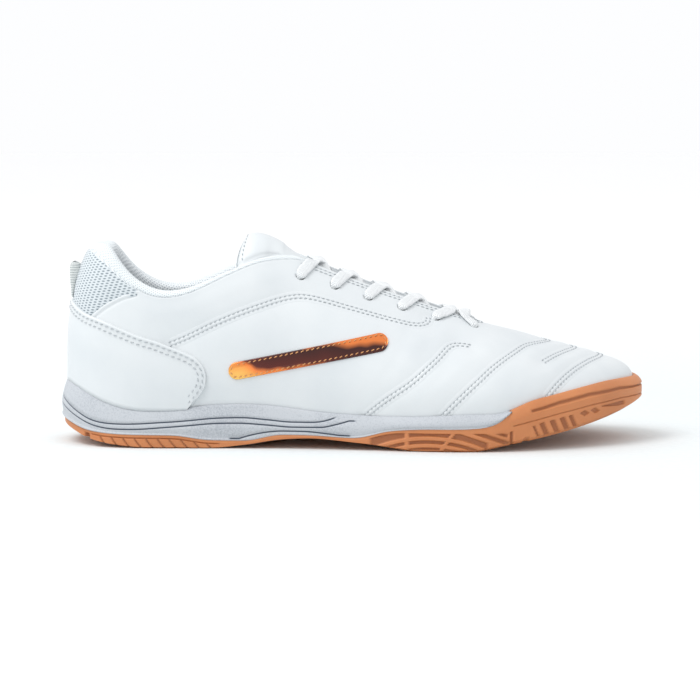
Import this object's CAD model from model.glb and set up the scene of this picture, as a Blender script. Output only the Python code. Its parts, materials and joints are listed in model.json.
"""Looks of a right indoor soccer shoe in white coated leather, on a foam wedge and a gum rubber sole.

Metres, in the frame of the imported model: toe towards +X, outer side towards -Y, floor at z = 0. Every piece
is a grid of points that the Last works out from a ring angle (0 at the heel back, pi at the toe, outer side
first) and a share of the rib that climbs from the feather line (0) to the topline (1).
"""

import json
import logging
import math
from dataclasses import dataclass, field
from enum import Enum

import bpy
import numpy as np
from bpy.types import Material, Node, NodeSocket, NodeTree, Object
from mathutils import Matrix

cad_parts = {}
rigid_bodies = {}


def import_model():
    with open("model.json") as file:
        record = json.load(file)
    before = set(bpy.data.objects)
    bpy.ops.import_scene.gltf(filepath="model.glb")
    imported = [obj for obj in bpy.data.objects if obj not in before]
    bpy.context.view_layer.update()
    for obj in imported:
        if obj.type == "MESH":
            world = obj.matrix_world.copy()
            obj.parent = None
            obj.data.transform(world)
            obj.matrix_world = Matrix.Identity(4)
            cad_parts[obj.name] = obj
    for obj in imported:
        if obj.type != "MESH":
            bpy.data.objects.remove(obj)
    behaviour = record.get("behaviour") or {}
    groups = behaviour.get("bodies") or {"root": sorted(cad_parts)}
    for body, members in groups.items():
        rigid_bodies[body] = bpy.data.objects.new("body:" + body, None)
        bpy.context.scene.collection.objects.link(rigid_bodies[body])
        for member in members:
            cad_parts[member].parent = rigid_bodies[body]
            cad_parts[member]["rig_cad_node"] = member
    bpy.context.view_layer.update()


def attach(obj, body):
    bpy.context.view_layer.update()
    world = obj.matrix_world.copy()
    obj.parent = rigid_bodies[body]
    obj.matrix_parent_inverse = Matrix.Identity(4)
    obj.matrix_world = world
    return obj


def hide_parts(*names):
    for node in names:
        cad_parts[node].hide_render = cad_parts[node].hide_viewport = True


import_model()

log = logging.getLogger("indoor_shoe")
Array = np.ndarray
UP = np.array([0.0, 0.0, 1.0])
TURN = 2 * math.pi
MM = 0.001
SPACING = 0.0006  # between the points of a seam's line
STITCH = 0.0024  # length of a stitch
WEAVE = "weave"  # the pieces' own map

# Half widths of the sole in plan, as shares of the ball width, at shares of the length from the heel.
OUTLINE = {
    "along": (0.0, 0.02, 0.05, 0.10, 0.18, 0.28, 0.40, 0.50, 0.60, 0.66, 0.72, 0.80, 0.87, 0.93, 0.97, 1.0),
    "outer": (0.0, 0.185, 0.275, 0.336, 0.358, 0.358, 0.378, 0.422, 0.475, 0.495, 0.496, 0.452, 0.370, 0.245,
              0.115, -0.085),
    "inner": (0.0, 0.185, 0.270, 0.330, 0.346, 0.332, 0.322, 0.355, 0.420, 0.460, 0.488, 0.492, 0.452, 0.370,
              0.280, 0.085),
}

# Heights along the sole, as shares of its height at the heel: tread, line between gum and foam, bed, top rim.
PROFILE = {
    "along": (0.0, 0.02, 0.05, 0.08, 0.115, 0.15, 0.20, 0.26, 0.32, 0.38, 0.43, 0.50, 0.56, 0.60, 0.70, 0.73,
              0.748, 0.76, 0.80, 0.84, 0.90, 0.95, 1.0),
    "ground": (0.300, 0.215, 0.120, 0.060, 0.022, 0.0, 0.0, 0.0, 0.055, 0.140, 0.165, 0.115, 0.050, 0.0, 0.0,
               0.045, 0.080, 0.100, 0.165, 0.235, 0.355, 0.470, 0.640),
    "border": (0.415, 0.340, 0.255, 0.220, 0.206, 0.202, 0.195, 0.125, 0.120, 0.215, 0.212, 0.185, 0.305, 0.335,
               0.355, 0.400, 0.480, 0.590, 0.745, 0.815, 0.905, 0.960, 0.975),
    "bed": (0.560, 0.545, 0.525, 0.510, 0.500, 0.495, 0.495, 0.495, 0.490, 0.480, 0.465, 0.450, 0.440, 0.440,
            0.440, 0.442, 0.445, 0.448, 0.465, 0.500, 0.580, 0.680, 0.820),
    "rim": (1.0, 0.950, 0.830, 0.710, 0.615, 0.580, 0.588, 0.650, 0.668, 0.630, 0.570, 0.525, 0.513, 0.518,
            0.556, 0.560, 0.570, 0.610, 0.745, 0.815, 0.905, 0.960, 0.975),
}

# The topline: reach of the length, half width and sideways shift of the ball width, height as shares of the
# heel's and the instep's, and the padding's roll above it.
TOPLINE = {
    "along": (0.0, 0.03, 0.08, 0.13, 0.18, 0.24, 0.30, 0.36, 0.42, 0.50, 0.58, 0.66, 0.74, 0.82, 0.90, 0.96,
              1.0),
    "reach": (0.050, 0.058, 0.085, 0.125, 0.170, 0.225, 0.290, 0.345, 0.400, 0.470, 0.545, 0.620, 0.675, 0.697,
              0.706, 0.7095, 0.710),
    "half": (0.0, 0.110, 0.210, 0.262, 0.285, 0.290, 0.262, 0.205, 0.145, 0.122, 0.110, 0.100, 0.085, 0.062,
             0.038, 0.018, 0.0),
    "shift": (0.0, 0.0, 0.0, 0.0, 0.0, 0.005, 0.010, 0.015, 0.020, 0.028, 0.034, 0.040, 0.045, 0.048, 0.050,
              0.050, 0.050),
    "of_heel": (1.0, 0.986, 0.80, 0.50, 0.30, 0.15, 0.05, *[0.0] * 10),
    "of_instep": (0.0, 0.0, 0.129, 0.336, 0.484, 0.663, 0.867, 0.987, 0.998, 0.922, 0.833, 0.752, 0.692, 0.666,
                  0.652, 0.647, 0.6455),
    "roll": (0.85, 1.20, 2.20, 1.35, 1.05, 0.85, 0.70, 0.30, *[0.0] * 9),
}

# The bend of each rib: outward lean at the foot and fall at the top in degrees, and the reach of both handles.
RIBS = {
    "along": TOPLINE["along"],
    "lean": (-4, -3, 1, 4, 7, 7, 8, 8, 8, 8, 9, 9, 9, 8, 6, 4, 3),
    "low": (0.36, 0.35, 0.33, 0.32, 0.33, 0.34, 0.36, 0.36, 0.36, 0.36, 0.36, 0.35, 0.33, 0.27, 0.22, 0.185,
            0.178),
    "slope": (67, 69, 76, 82, 84, 80, 70, 58, 50, 43, 38, 33, 27, 22, 18, 16, 15.5),
    "high": (0.42, 0.40, 0.34, 0.32, 0.33, 0.33, 0.32, 0.32, 0.32, 0.34, 0.36, 0.38, 0.44, 0.53, 0.63, 0.69,
             0.70),
}

# Where the leather ends below the mesh at the heel, as a share of the rib.
LEATHER_TOP = {
    "along": (0.0, 0.0170, 0.0302, 0.0468, 0.0670, 0.0904, 0.1170, 0.1464, 1.0),
    "share": (0.655, 0.650, 0.620, 0.600, 0.675, 0.770, 0.885, 1.0, 1.0),
}

# The double rows of stitching on the leather, as ribs (share of the length) and shares of the rib.
SEAMS = {
    "eyestay": ((0.1971, 0.603), (0.2532, 0.672), (0.3004, 0.688), (0.3519, 0.697), (0.3975, 0.725),
                (0.4174, 0.735), (0.4329, 0.737), (0.4529, 0.738), (0.4787, 0.741), (0.5191, 0.743),
                (0.5582, 0.744), (0.5959, 0.745), (0.6156, 0.748), (0.6352, 0.757), (0.6481, 0.777),
                (0.6598, 0.820), (0.6630, 0.858), (0.6615, 0.895)),
    "vamp_back": ((0.5150, 0.010), (0.5437, 0.103), (0.5705, 0.177), (0.5970, 0.252), (0.6265, 0.362),
                  (0.6588, 0.497), (0.6850, 0.620), (0.6950, 0.650), (0.7109, 0.659), (0.7330, 0.660)),
    "vamp_front": ((0.6420, 0.012), (0.6809, 0.177), (0.7200, 0.335), (0.7584, 0.478), (0.8135, 0.613),
                   (0.8978, 0.735), (0.9795, 0.760), (1.0, 0.750)),
    "toe": ((0.8260, 0.150), (0.8559, 0.278), (0.8867, 0.367), (0.9371, 0.460), (0.9772, 0.490), (1.0, 0.482)),
    "toe_short": ((0.8743, 0.545), (0.9142, 0.598), (0.9524, 0.630), (0.9880, 0.638), (1.0, 0.632)),
}

# Half the section of a seam's strip, in mm from its middle and up: a ridge, a sunk row of stitches, an edge.
SEAM_SECTION = ((0.0, 0.30), (0.4, 0.24), (0.7, 0.10), (0.95, 0.00), (1.2, 0.05), (1.45, 0.09), (1.9, 0.06),
                (2.5, -0.01), (3.1, -0.10))

# The heel overlay's outer edge, from the heel back down to the sole's rim.
COUNTER_EDGE = ((0.0, 0.690), (0.0104, 0.668), (0.0323, 0.636), (0.0530, 0.620), (0.0790, 0.620),
                (0.1264, 0.634), (0.1710, 0.632), (0.2007, 0.585), (0.2255, 0.527), (0.2426, 0.465),
                (0.2532, 0.393), (0.2572, 0.315), (0.2562, 0.255), (0.2503, 0.195), (0.2378, 0.128),
                (0.2236, 0.058))

# The painted grooves round the foam's side, as heights in shares of the sole's height at the heel.
FOAM_LINES = {
    "upper": ((0.0, 0.715), (0.0042, 0.690), (0.0319, 0.528), (0.0571, 0.420), (0.0809, 0.377), (0.1119, 0.367),
              (0.1425, 0.375), (0.1719, 0.392), (0.2025, 0.409), (0.2274, 0.428), (0.2631, 0.459),
              (0.3139, 0.473), (0.3541, 0.446), (0.3997, 0.413), (0.4262, 0.413), (0.4541, 0.443),
              (0.4697, 0.492)),
    "lower": ((0.0, 0.620), (0.0042, 0.592), (0.0319, 0.443), (0.0571, 0.345), (0.0809, 0.300), (0.1119, 0.286),
              (0.1417, 0.292), (0.1719, 0.312), (0.2025, 0.333), (0.2274, 0.352), (0.2631, 0.380),
              (0.3087, 0.388), (0.3541, 0.364), (0.3997, 0.336), (0.4451, 0.339), (0.4720, 0.389),
              (0.5034, 0.478)),
    "arch": ((0.2920, 0.125), (0.3035, 0.140), (0.3264, 0.200), (0.3541, 0.252), (0.3811, 0.273),
             (0.4174, 0.272), (0.4541, 0.245), (0.4955, 0.200)),
}

# The heel's folded tape: rise, and how far its two faces stand behind the heel, as shares of its height.
TAB = {
    "rise": (0.0, 0.25, 0.50, 0.72, 0.88, 0.97, 1.0),
    "back": (0.080, 0.150, 0.235, 0.305, 0.345, 0.345, 0.315),
    "front": (0.025, 0.020, 0.010, -0.030, 0.060, 0.175, 0.255),
}

# The tongue's free end, from the facing's top corner: back of the length, rise and droop of the instep height,
# half of the ball width, and how far its corners are swept back.
TONGUE_END = {
    "back": (0.012, 0.028, 0.042, 0.056, 0.069, 0.079),
    "rise": (0.104, 0.131, 0.148, 0.155, 0.148, 0.128),
    "half": (0.135, 0.135, 0.155, 0.175, 0.185, 0.180),
    "droop": (0.090, 0.105, 0.125, 0.155, 0.180, 0.175),
    "sweep": (0.0, 0.0, 0.0, 0.004, 0.009, 0.013),
}


class Side(Enum):
    """The two long sides of the shoe."""

    OUTER = 1
    INNER = -1

    def turned(self, angle: Array) -> Array:
        """Ring angles of the outer side carried to this side."""
        return angle if self is Side.OUTER else TURN - angle


def unit(vectors: Array) -> Array:
    """Vectors divided by their own length, along the last axis."""
    return vectors / np.maximum(np.linalg.norm(vectors, axis=-1, keepdims=True), 1e-12)


def angle_at(along: Array | float) -> Array:
    """Ring angle of a station: the angle whose cosine is one less twice the share of the length."""
    return np.arccos(1 - 2 * np.clip(np.asarray(along, float), 0, 1))


def along_at(angle: Array | float) -> Array:
    """Share of the length at a ring angle: half of one less its cosine."""
    return 0.5 * (1 - np.cos(angle))


def hermite(knots: Array, values: Array, at: Array) -> Array:
    """A cubic through the knots whose slopes are the weighted means of the steps, held from overshooting.

    Args:
        knots: rising places of the values.
        values: one value for each knot.
        at: places to read.

    Returns:
        The curve's values at those places.
    """
    steps = np.diff(knots)
    rises = np.diff(values) / steps
    slopes = np.empty(len(knots))
    slopes[0], slopes[-1] = rises[0], rises[-1]
    slopes[1:-1] = (steps[1:] * rises[:-1] + steps[:-1] * rises[1:]) / (steps[:-1] + steps[1:])
    bound = 3 * np.minimum(np.abs(rises[:-1]), np.abs(rises[1:]))
    turns = rises[:-1] * rises[1:] <= 0
    slopes[1:-1] = np.where(turns, 0.0, np.clip(slopes[1:-1], -bound, bound))
    cell = np.clip(np.searchsorted(knots, at) - 1, 0, len(steps) - 1)
    u = (at - knots[cell]) / steps[cell]
    ends = (1 + 2 * u) * (1 - u) ** 2 * values[cell] + u * u * (3 - 2 * u) * values[cell + 1]
    return ends + steps[cell] * (u * (1 - u) ** 2 * slopes[cell] + u * u * (u - 1) * slopes[cell + 1])


def spline(rows: Array, count: int) -> Array:
    """Rows of control points, one smooth curve down the first axis, read at even steps.

    The curve between two rows is the cubic with slopes of half the span of their neighbours.

    Args:
        rows: control points, with the curve's steps along the first axis.
        count: how many points to read.

    Returns:
        The curve's points, count along the first axis.
    """
    wide = np.concatenate([2 * rows[:1] - rows[1:2], rows, 2 * rows[-1:] - rows[-2:-1]])
    at = np.linspace(0, len(rows) - 1, count)
    cell = np.minimum(at.astype(int), len(rows) - 2)
    u = (at - cell).reshape((-1,) + (1,) * (rows.ndim - 1))
    a, b, c, d = (wide[cell + k] for k in range(4))
    return 0.5 * (2 * b + (c - a) * u + (2 * a - 5 * b + 4 * c - d) * u ** 2 + (3 * b - a - 3 * c + d) * u ** 3)


def run_along(line: Array) -> Array:
    """Distance along a line of points, from 0 at its start."""
    return np.concatenate([[0], np.cumsum(np.linalg.norm(np.diff(line, axis=0), axis=1))])


def smooth_step(low: float, high: float, at: Array) -> Array:
    """0 up to low, 1 from high on, and three u squared less two u cubed between."""
    u = np.clip((at - low) / (high - low), 0, 1)
    return u * u * (3 - 2 * u)


def band(at: Array, low: Array | float, high: Array | float, soft: float) -> Array:
    """1 between low and high and 0 outside, with both flanks soft."""
    return np.clip((at - low) / soft + 0.5, 0, 1) * np.clip((high - at) / soft + 0.5, 0, 1)


@dataclass
class Last:
    """The shoe's form: outline, heights along the sole and the skin, which is the outside of the upper.

    Attributes:
        ledge: how far the upper's foot stands in from the sole's outline.
        gap: clearance between pieces.
        wall: thickness of the upper.
        rim: thickness of the sole's rim where it climbs the upper.
        samples: how many steps round the ring the curves are read at.
        curves: every table, read round the ring.
    """

    length: float = 0.288
    ball_width: float = 0.100
    instep_height: float = 0.0900
    heel_height: float = 0.0955
    sole_height: float = 0.0316
    ledge: float = 0.0042
    gap: float = 0.0003
    wall: float = 0.0020
    rim: float = 0.0012
    samples: int = 4096
    curves: dict[str, Array] = field(default_factory=dict)

    def __post_init__(self) -> None:
        """Reads every table round the ring once, and rounds off its knots."""
        turn = np.arange(self.samples) * TURN / self.samples
        sign = np.where(turn <= math.pi, -1.0, 1.0)
        for table, names, soft in ((TOPLINE, ("reach", "shift", "of_heel", "of_instep", "roll"), 2.0),
                                   (RIBS, ("lean", "low", "slope", "high"), 2.5),
                                   (PROFILE, ("ground", "border", "bed", "rim"), 0.9)):
            for name in names:
                values = self.around(table["along"], table[name], table[name], turn)
                self.curves[name] = self.soften(values, soft)
        half = self.around(TOPLINE["along"], TOPLINE["half"], TOPLINE["half"], turn)
        self.curves["half"] = self.soften(sign * half, 2.0)
        outer, inner = -np.asarray(OUTLINE["outer"]), np.asarray(OUTLINE["inner"])
        self.curves["side"] = self.soften(self.around(OUTLINE["along"], outer, inner, turn), 2.0)
        x, y = self.length * (along_at(turn) - 0.5), self.ball_width * self.curves["side"]
        run_x, run_y = np.roll(x, -1) - np.roll(x, 1), np.roll(y, -1) - np.roll(y, 1)
        size = np.hypot(run_x, run_y)
        self.curves["out_x"], self.curves["out_y"] = run_y / size, -run_x / size

    def around(self, along: tuple, outer: Array, inner: Array, angle: Array) -> Array:
        """A closed curve round the ring through one column for each side.

        Args:
            along: shares of the length.
            outer: values at them on the outer side.
            inner: values at them on the inner side.
            angle: ring angles to read.

        Returns:
            The curve's values at those angles.
        """
        turn = angle_at(along)
        knots = np.concatenate([turn, TURN - turn[-2:0:-1]])
        values = np.concatenate([np.asarray(outer, float), np.asarray(inner, float)[-2:0:-1]])
        knots = np.concatenate([knots[-3:] - TURN, knots, knots[:3] + TURN])
        values = np.concatenate([values[-3:], values, values[:3]])
        return hermite(knots, values, angle)

    def soften(self, values: Array, degrees: float) -> Array:
        """The values round the ring, averaged with a bell curve of that many degrees."""
        bell = np.exp(-0.5 * (np.fft.rfftfreq(self.samples, 1 / self.samples) * math.radians(degrees)) ** 2)
        return np.fft.irfft(np.fft.rfft(values) * bell, self.samples)

    def read(self, name: str, angle: Array) -> Array:
        """A curve at ring angles, straight between its close samples.

        Args:
            name: name of the curve.
            angle: ring angles.

        Returns:
            Its values.
        """
        at = np.mod(angle, TURN) / TURN * self.samples
        cell = at.astype(int) % self.samples
        values = self.curves[name]
        return values[cell] + (at - np.floor(at)) * (values[(cell + 1) % self.samples] - values[cell])

    def height(self, name: str, angle: Array) -> Array:
        """A height along the sole, in metres."""
        return self.sole_height * self.read(name, angle)

    def outward(self, angle: Array) -> Array:
        """The outline's level direction outwards."""
        x, y = self.read("out_x", angle), self.read("out_y", angle)
        return np.stack([x, y, np.zeros_like(x)], axis=-1)

    def side_point(self, angle: Array, inset: Array | float, height: Array | float) -> Array:
        """Points of the sole's side: the outline moved in by inset, at a height.

        Args:
            angle: ring angles.
            inset: distance in from the outline.
            height: height above the floor.

        Returns:
            The points.
        """
        angle, inset, height = np.broadcast_arrays(angle, inset, height)
        flat = np.stack([self.length * (along_at(angle) - 0.5), self.ball_width * self.read("side", angle),
                         np.zeros_like(angle)], axis=-1) - self.outward(angle) * inset[..., None]
        flat[..., 2] = height
        return flat

    def topline(self, angle: Array) -> Array:
        """The collar's seam and the edge of the lace facing.

        Args:
            angle: ring angles.

        Returns:
            Its points.
        """
        z = self.heel_height * self.read("of_heel", angle) + self.instep_height * self.read("of_instep", angle)
        y = self.ball_width * (self.read("shift", angle) + self.read("half", angle))
        return np.stack([self.length * (self.read("reach", angle) - 0.5), y, z], axis=-1)

    def rib(self, angle: Array, share: Array) -> Array:
        """The bare rib: a cubic Bezier curve from the feather line to the topline, straight on beyond it.

        Args:
            angle: ring angles.
            share: shares of the rib, of the same shape.

        Returns:
            Points, with x, y and z along a new last axis.
        """
        low_end = self.side_point(angle, self.ledge, self.height("bed", angle) + self.gap)
        high_end = self.topline(angle)
        out = self.outward(angle)
        chord = high_end - low_end
        size = np.linalg.norm(chord, axis=-1, keepdims=True)
        level = unit(-chord * np.array([1.0, 1.0, 0.0]) + out * 0.12 * self.ball_width)
        lean, slope = (np.radians(self.read(name, angle))[..., None] for name in ("lean", "slope"))
        low, high = (self.read(name, angle)[..., None] * size for name in ("low", "high"))
        low_handle = low_end + low * (np.sin(lean) * out + np.cos(lean) * UP)
        high_handle = high_end + high * (np.cos(slope) * level - np.sin(slope) * UP)
        u = np.clip(share, 0, 1)[..., None]
        curve = ((1 - u) ** 3 * low_end + 3 * u * (1 - u) ** 2 * low_handle
                 + 3 * u * u * (1 - u) * high_handle + u ** 3 * high_end)
        return curve + np.maximum(np.asarray(share) - 1, 0)[..., None] * 3 * (high_end - high_handle)

    def normal(self, angle: Array, share: Array) -> Array:
        """The skin's outward direction: the cross product of its two slopes.

        Args:
            angle: ring angles.
            share: shares of the rib.

        Returns:
            Directions of length 1.
        """
        turn, rise = 6e-3, 3e-3
        inner = np.clip(share, 0.006, 0.994)
        across = self.rib(angle + turn, inner) - self.rib(angle - turn, inner)
        up = self.rib(angle, inner + rise) - self.rib(angle, inner - rise)
        return unit(np.cross(across, up))

    def skin(self, angle: Array, share: Array, lift: Array | float = 0.0) -> Array:
        """The rib's point moved along the outward direction by lift."""
        angle, share, lift = np.broadcast_arrays(*(np.asarray(v, float) for v in (angle, share, lift)))
        return self.rib(angle, share) + self.normal(angle, share) * lift[..., None]

    def share_at_height(self, angle: Array, height: Array | float) -> Array:
        """The share of each rib that stands at a height, by halving.

        Args:
            angle: ring angles.
            height: heights above the floor.

        Returns:
            Shares of the rib.
        """
        angle, height = np.broadcast_arrays(*(np.asarray(v, float) for v in (angle, height)))
        low, high = np.zeros(angle.shape), np.ones(angle.shape)
        for _ in range(24):
            middle = 0.5 * (low + high)
            under = self.rib(angle, middle)[..., 2] < height
            low, high = np.where(under, middle, low), np.where(under, high, middle)
        return 0.5 * (low + high)

    def moved(self, angle: Array, share: Array, step: Array) -> tuple[Array, Array]:
        """Ring angle and share of points moved over the skin by a small step in space.

        The step is split into the skin's two slopes by least squares.

        Args:
            angle: ring angles to start from.
            share: shares to start from.
            step: steps in metres, x, y and z along the last axis.

        Returns:
            The new ring angles and shares.
        """
        h = 2e-3
        a = (self.rib(angle + h, share) - self.rib(angle - h, share)) / (2 * h)
        inner = np.clip(share, h, 1 - h)
        b = (self.rib(angle, inner + h) - self.rib(angle, inner - h)) / (2 * h)
        aa, ab, bb = (a * a).sum(-1), (a * b).sum(-1), (b * b).sum(-1)
        sa, sb = (step * a).sum(-1), (step * b).sum(-1)
        det = np.maximum(aa * bb - ab * ab, 1e-14)
        return angle + (sa * bb - sb * ab) / det, share + (sb * aa - sa * ab) / det


LAST = Last()


def add_mesh(name: str, points: Array, faces: list, corner_uv: Array | None,
             materials: list[Material], face_material: Array | None = None,
             marks: dict[str, Array] | None = None) -> Object:
    """A mesh object at the origin that rides on the shoe, faces turned outwards by the sign of its volume.

    Args:
        name: name of the piece.
        points: its points in metres.
        faces: corner numbers of each face.
        corner_uv: one pair for each face corner, in millimetres over the surface.
        materials: its finishes.
        face_material: number of the finish of each face.
        marks: named numbers for each point, which the finishes read.

    Returns:
        The object.
    """
    points = points.reshape(-1, 3)
    first = np.array([f[0] for f in faces])
    second, third = np.array([f[1] for f in faces]), np.array([f[2] for f in faces])
    fourth = np.array([f[3] if len(f) > 3 else f[2] for f in faces])
    centre = points.mean(0)
    p, q, r, s = (points[k] - centre for k in (first, second, third, fourth))
    volume = (p * np.cross(q, r)).sum() + (p * np.cross(r, s)).sum()
    mesh = bpy.data.meshes.new(name)
    mesh.from_pydata(points.tolist(), [], faces)
    if corner_uv is not None:
        layer = mesh.uv_layers.new(name=WEAVE)
        layer.data.foreach_set("uv", (corner_uv / 1000).astype(np.float32).ravel())
    for material in materials:
        mesh.materials.append(material)
    if face_material is not None:
        mesh.polygons.foreach_set("material_index", face_material.astype(np.int32))
    for key, values in (marks or {}).items():
        layer = mesh.attributes.new(key, "FLOAT", "POINT")
        layer.data.foreach_set("value", values.astype(np.float32).ravel())
    if volume < 0:
        mesh.flip_normals()
    mesh.shade_smooth()
    thing = bpy.data.objects.new(name, mesh)
    bpy.context.scene.collection.objects.link(thing)
    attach(thing, "root")
    return thing


def grid_mesh(name: str, grid: Array, materials: list[Material], round_columns: bool = False,
              row_material: Array | None = None, marks: dict[str, Array] | None = None,
              uv: Array | None = None) -> Object:
    """A closed body whose rows go round its section and whose columns run along it.

    Its map runs along the columns and round the rows by the mean run of each, in millimetres, unless given.

    Args:
        name: name of the piece.
        grid: points, columns by rows by three.
        materials: its finishes.
        round_columns: whether the last column joins the first; open ends are capped.
        row_material: number of the finish of each row of faces.
        marks: named numbers for each point.
        uv: the map, one more column or row than the grid wherever it closes.

    Returns:
        The object.
    """
    n, m = grid.shape[:2]
    if uv is None:
        wide = np.concatenate([grid, grid[:1]]) if round_columns else grid
        wide = np.concatenate([wide, wide[:, :1]], axis=1)
        along = np.cumsum(np.linalg.norm(np.diff(wide, axis=0), axis=2).mean(1)) * 1000
        across = np.cumsum(np.linalg.norm(np.diff(wide, axis=1), axis=2), axis=1) * 1000
        u = np.broadcast_to(np.concatenate([[0], along])[:, None], wide.shape[:2])
        v = np.concatenate([np.zeros((len(wide), 1)), across], axis=1)
        uv = np.stack([u, v], axis=-1)
    i, j = np.meshgrid(np.arange(n if round_columns else n - 1), np.arange(m), indexing="ij")
    i2, j2 = (i + 1) % n, (j + 1) % m
    quads = np.stack([i * m + j, i2 * m + j, i2 * m + j2, i * m + j2], axis=-1).reshape(-1, 4)
    corners = np.stack([uv[i, j], uv[i + 1, j], uv[i + 1, j + 1], uv[i, j + 1]], axis=2).reshape(-1, 2)
    which = None if row_material is None else row_material[j.ravel()]
    faces = quads.tolist()
    if not round_columns:
        faces.append(list(range(m))[::-1])
        faces.append([(n - 1) * m + k for k in range(m)])
        corners = np.concatenate([corners, uv[0, :m][::-1], uv[n - 1, :m]])
        if which is not None:
            which = np.concatenate([which, which[:1], which[-1:]])
    return add_mesh(name, grid, faces, corners, materials, which, marks)


def plate_mesh(name: str, top: Array, bottom: Array, materials: list[Material],
               uv: Array | None = None) -> Object:
    """A closed body between two like grids, whose map is that of its top.

    Args:
        name: name of the piece.
        top: points of its top, columns by rows by three.
        bottom: points of its underside.
        materials: its finishes.
        uv: the top's map.

    Returns:
        The object.
    """
    grid = np.concatenate([top, bottom[:, ::-1]], axis=1)
    if uv is not None:
        uv = np.concatenate([uv, uv[:, ::-1], uv[:, :1]], axis=1)
    return grid_mesh(name, grid, materials, uv=uv)


def colour(code: str) -> tuple[float, float, float, float]:
    """An sRGB hex code as linear red, green, blue and full cover."""
    parts = [int(code[k:k + 2], 16) / 255 for k in (1, 3, 5)]
    return (*[p / 12.92 if p <= 0.04045 else ((p + 0.055) / 1.055) ** 2.4 for p in parts], 1.0)


def fill(tree: NodeTree, node: Node, inputs: dict) -> None:
    """Fills a node's sockets with numbers or links.

    Args:
        tree: the node tree.
        node: the node.
        inputs: sockets by name or number, each a value, an output, or a node whose first output is meant.
    """
    for key, value in inputs.items():
        source = value.outputs[0] if isinstance(value, Node) else value
        if isinstance(source, NodeSocket):
            tree.links.new(source, node.inputs[key])
        else:
            node.inputs[key].default_value = source


def add(tree: NodeTree, kind: str, inputs: dict | None = None, stops: tuple = (), **settings) -> Node:
    """Adds a node, sets it up and fills its sockets.

    Args:
        tree: the node tree.
        kind: the node's type, without its common beginning.
        inputs: what fills its sockets.
        stops: a ramp's places from 0 to 1 with their colours.
        settings: properties of the node.

    Returns:
        The node.
    """
    made = tree.nodes.new("ShaderNode" + kind)
    for key, value in settings.items():
        setattr(made, key, value)
    fill(tree, made, inputs or {})
    while stops and len(made.color_ramp.elements) < len(stops):
        made.color_ramp.elements.new(0.5)
    for number, (place, code) in enumerate(stops):
        element = made.color_ramp.elements[number]
        element.position, element.color = place, colour(code)
    return made


@dataclass(frozen=True)
class Finish:
    """What a material is made of and how rough it is; each kind adds its own pattern.

    Attributes:
        name: the real material and its making.
        base: main colour.
        shade: colour in its low places.
        rough: roughness.
    """

    name: str
    base: str
    shade: str
    rough: float

    def pattern(self, tree: NodeTree) -> dict:
        """What fills the main shader's sockets, besides the roughness."""
        return {"Base Color": colour(self.base)}

    def make(self) -> Material:
        """The material: its main shader, filled with the roughness and the pattern.

        Returns:
            The material.
        """
        material = bpy.data.materials.new(self.name)
        material.use_nodes = True
        tree = material.node_tree
        fill(tree, tree.nodes["Principled BSDF"], {"Roughness": self.rough, **self.pattern(tree)})
        return material


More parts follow.
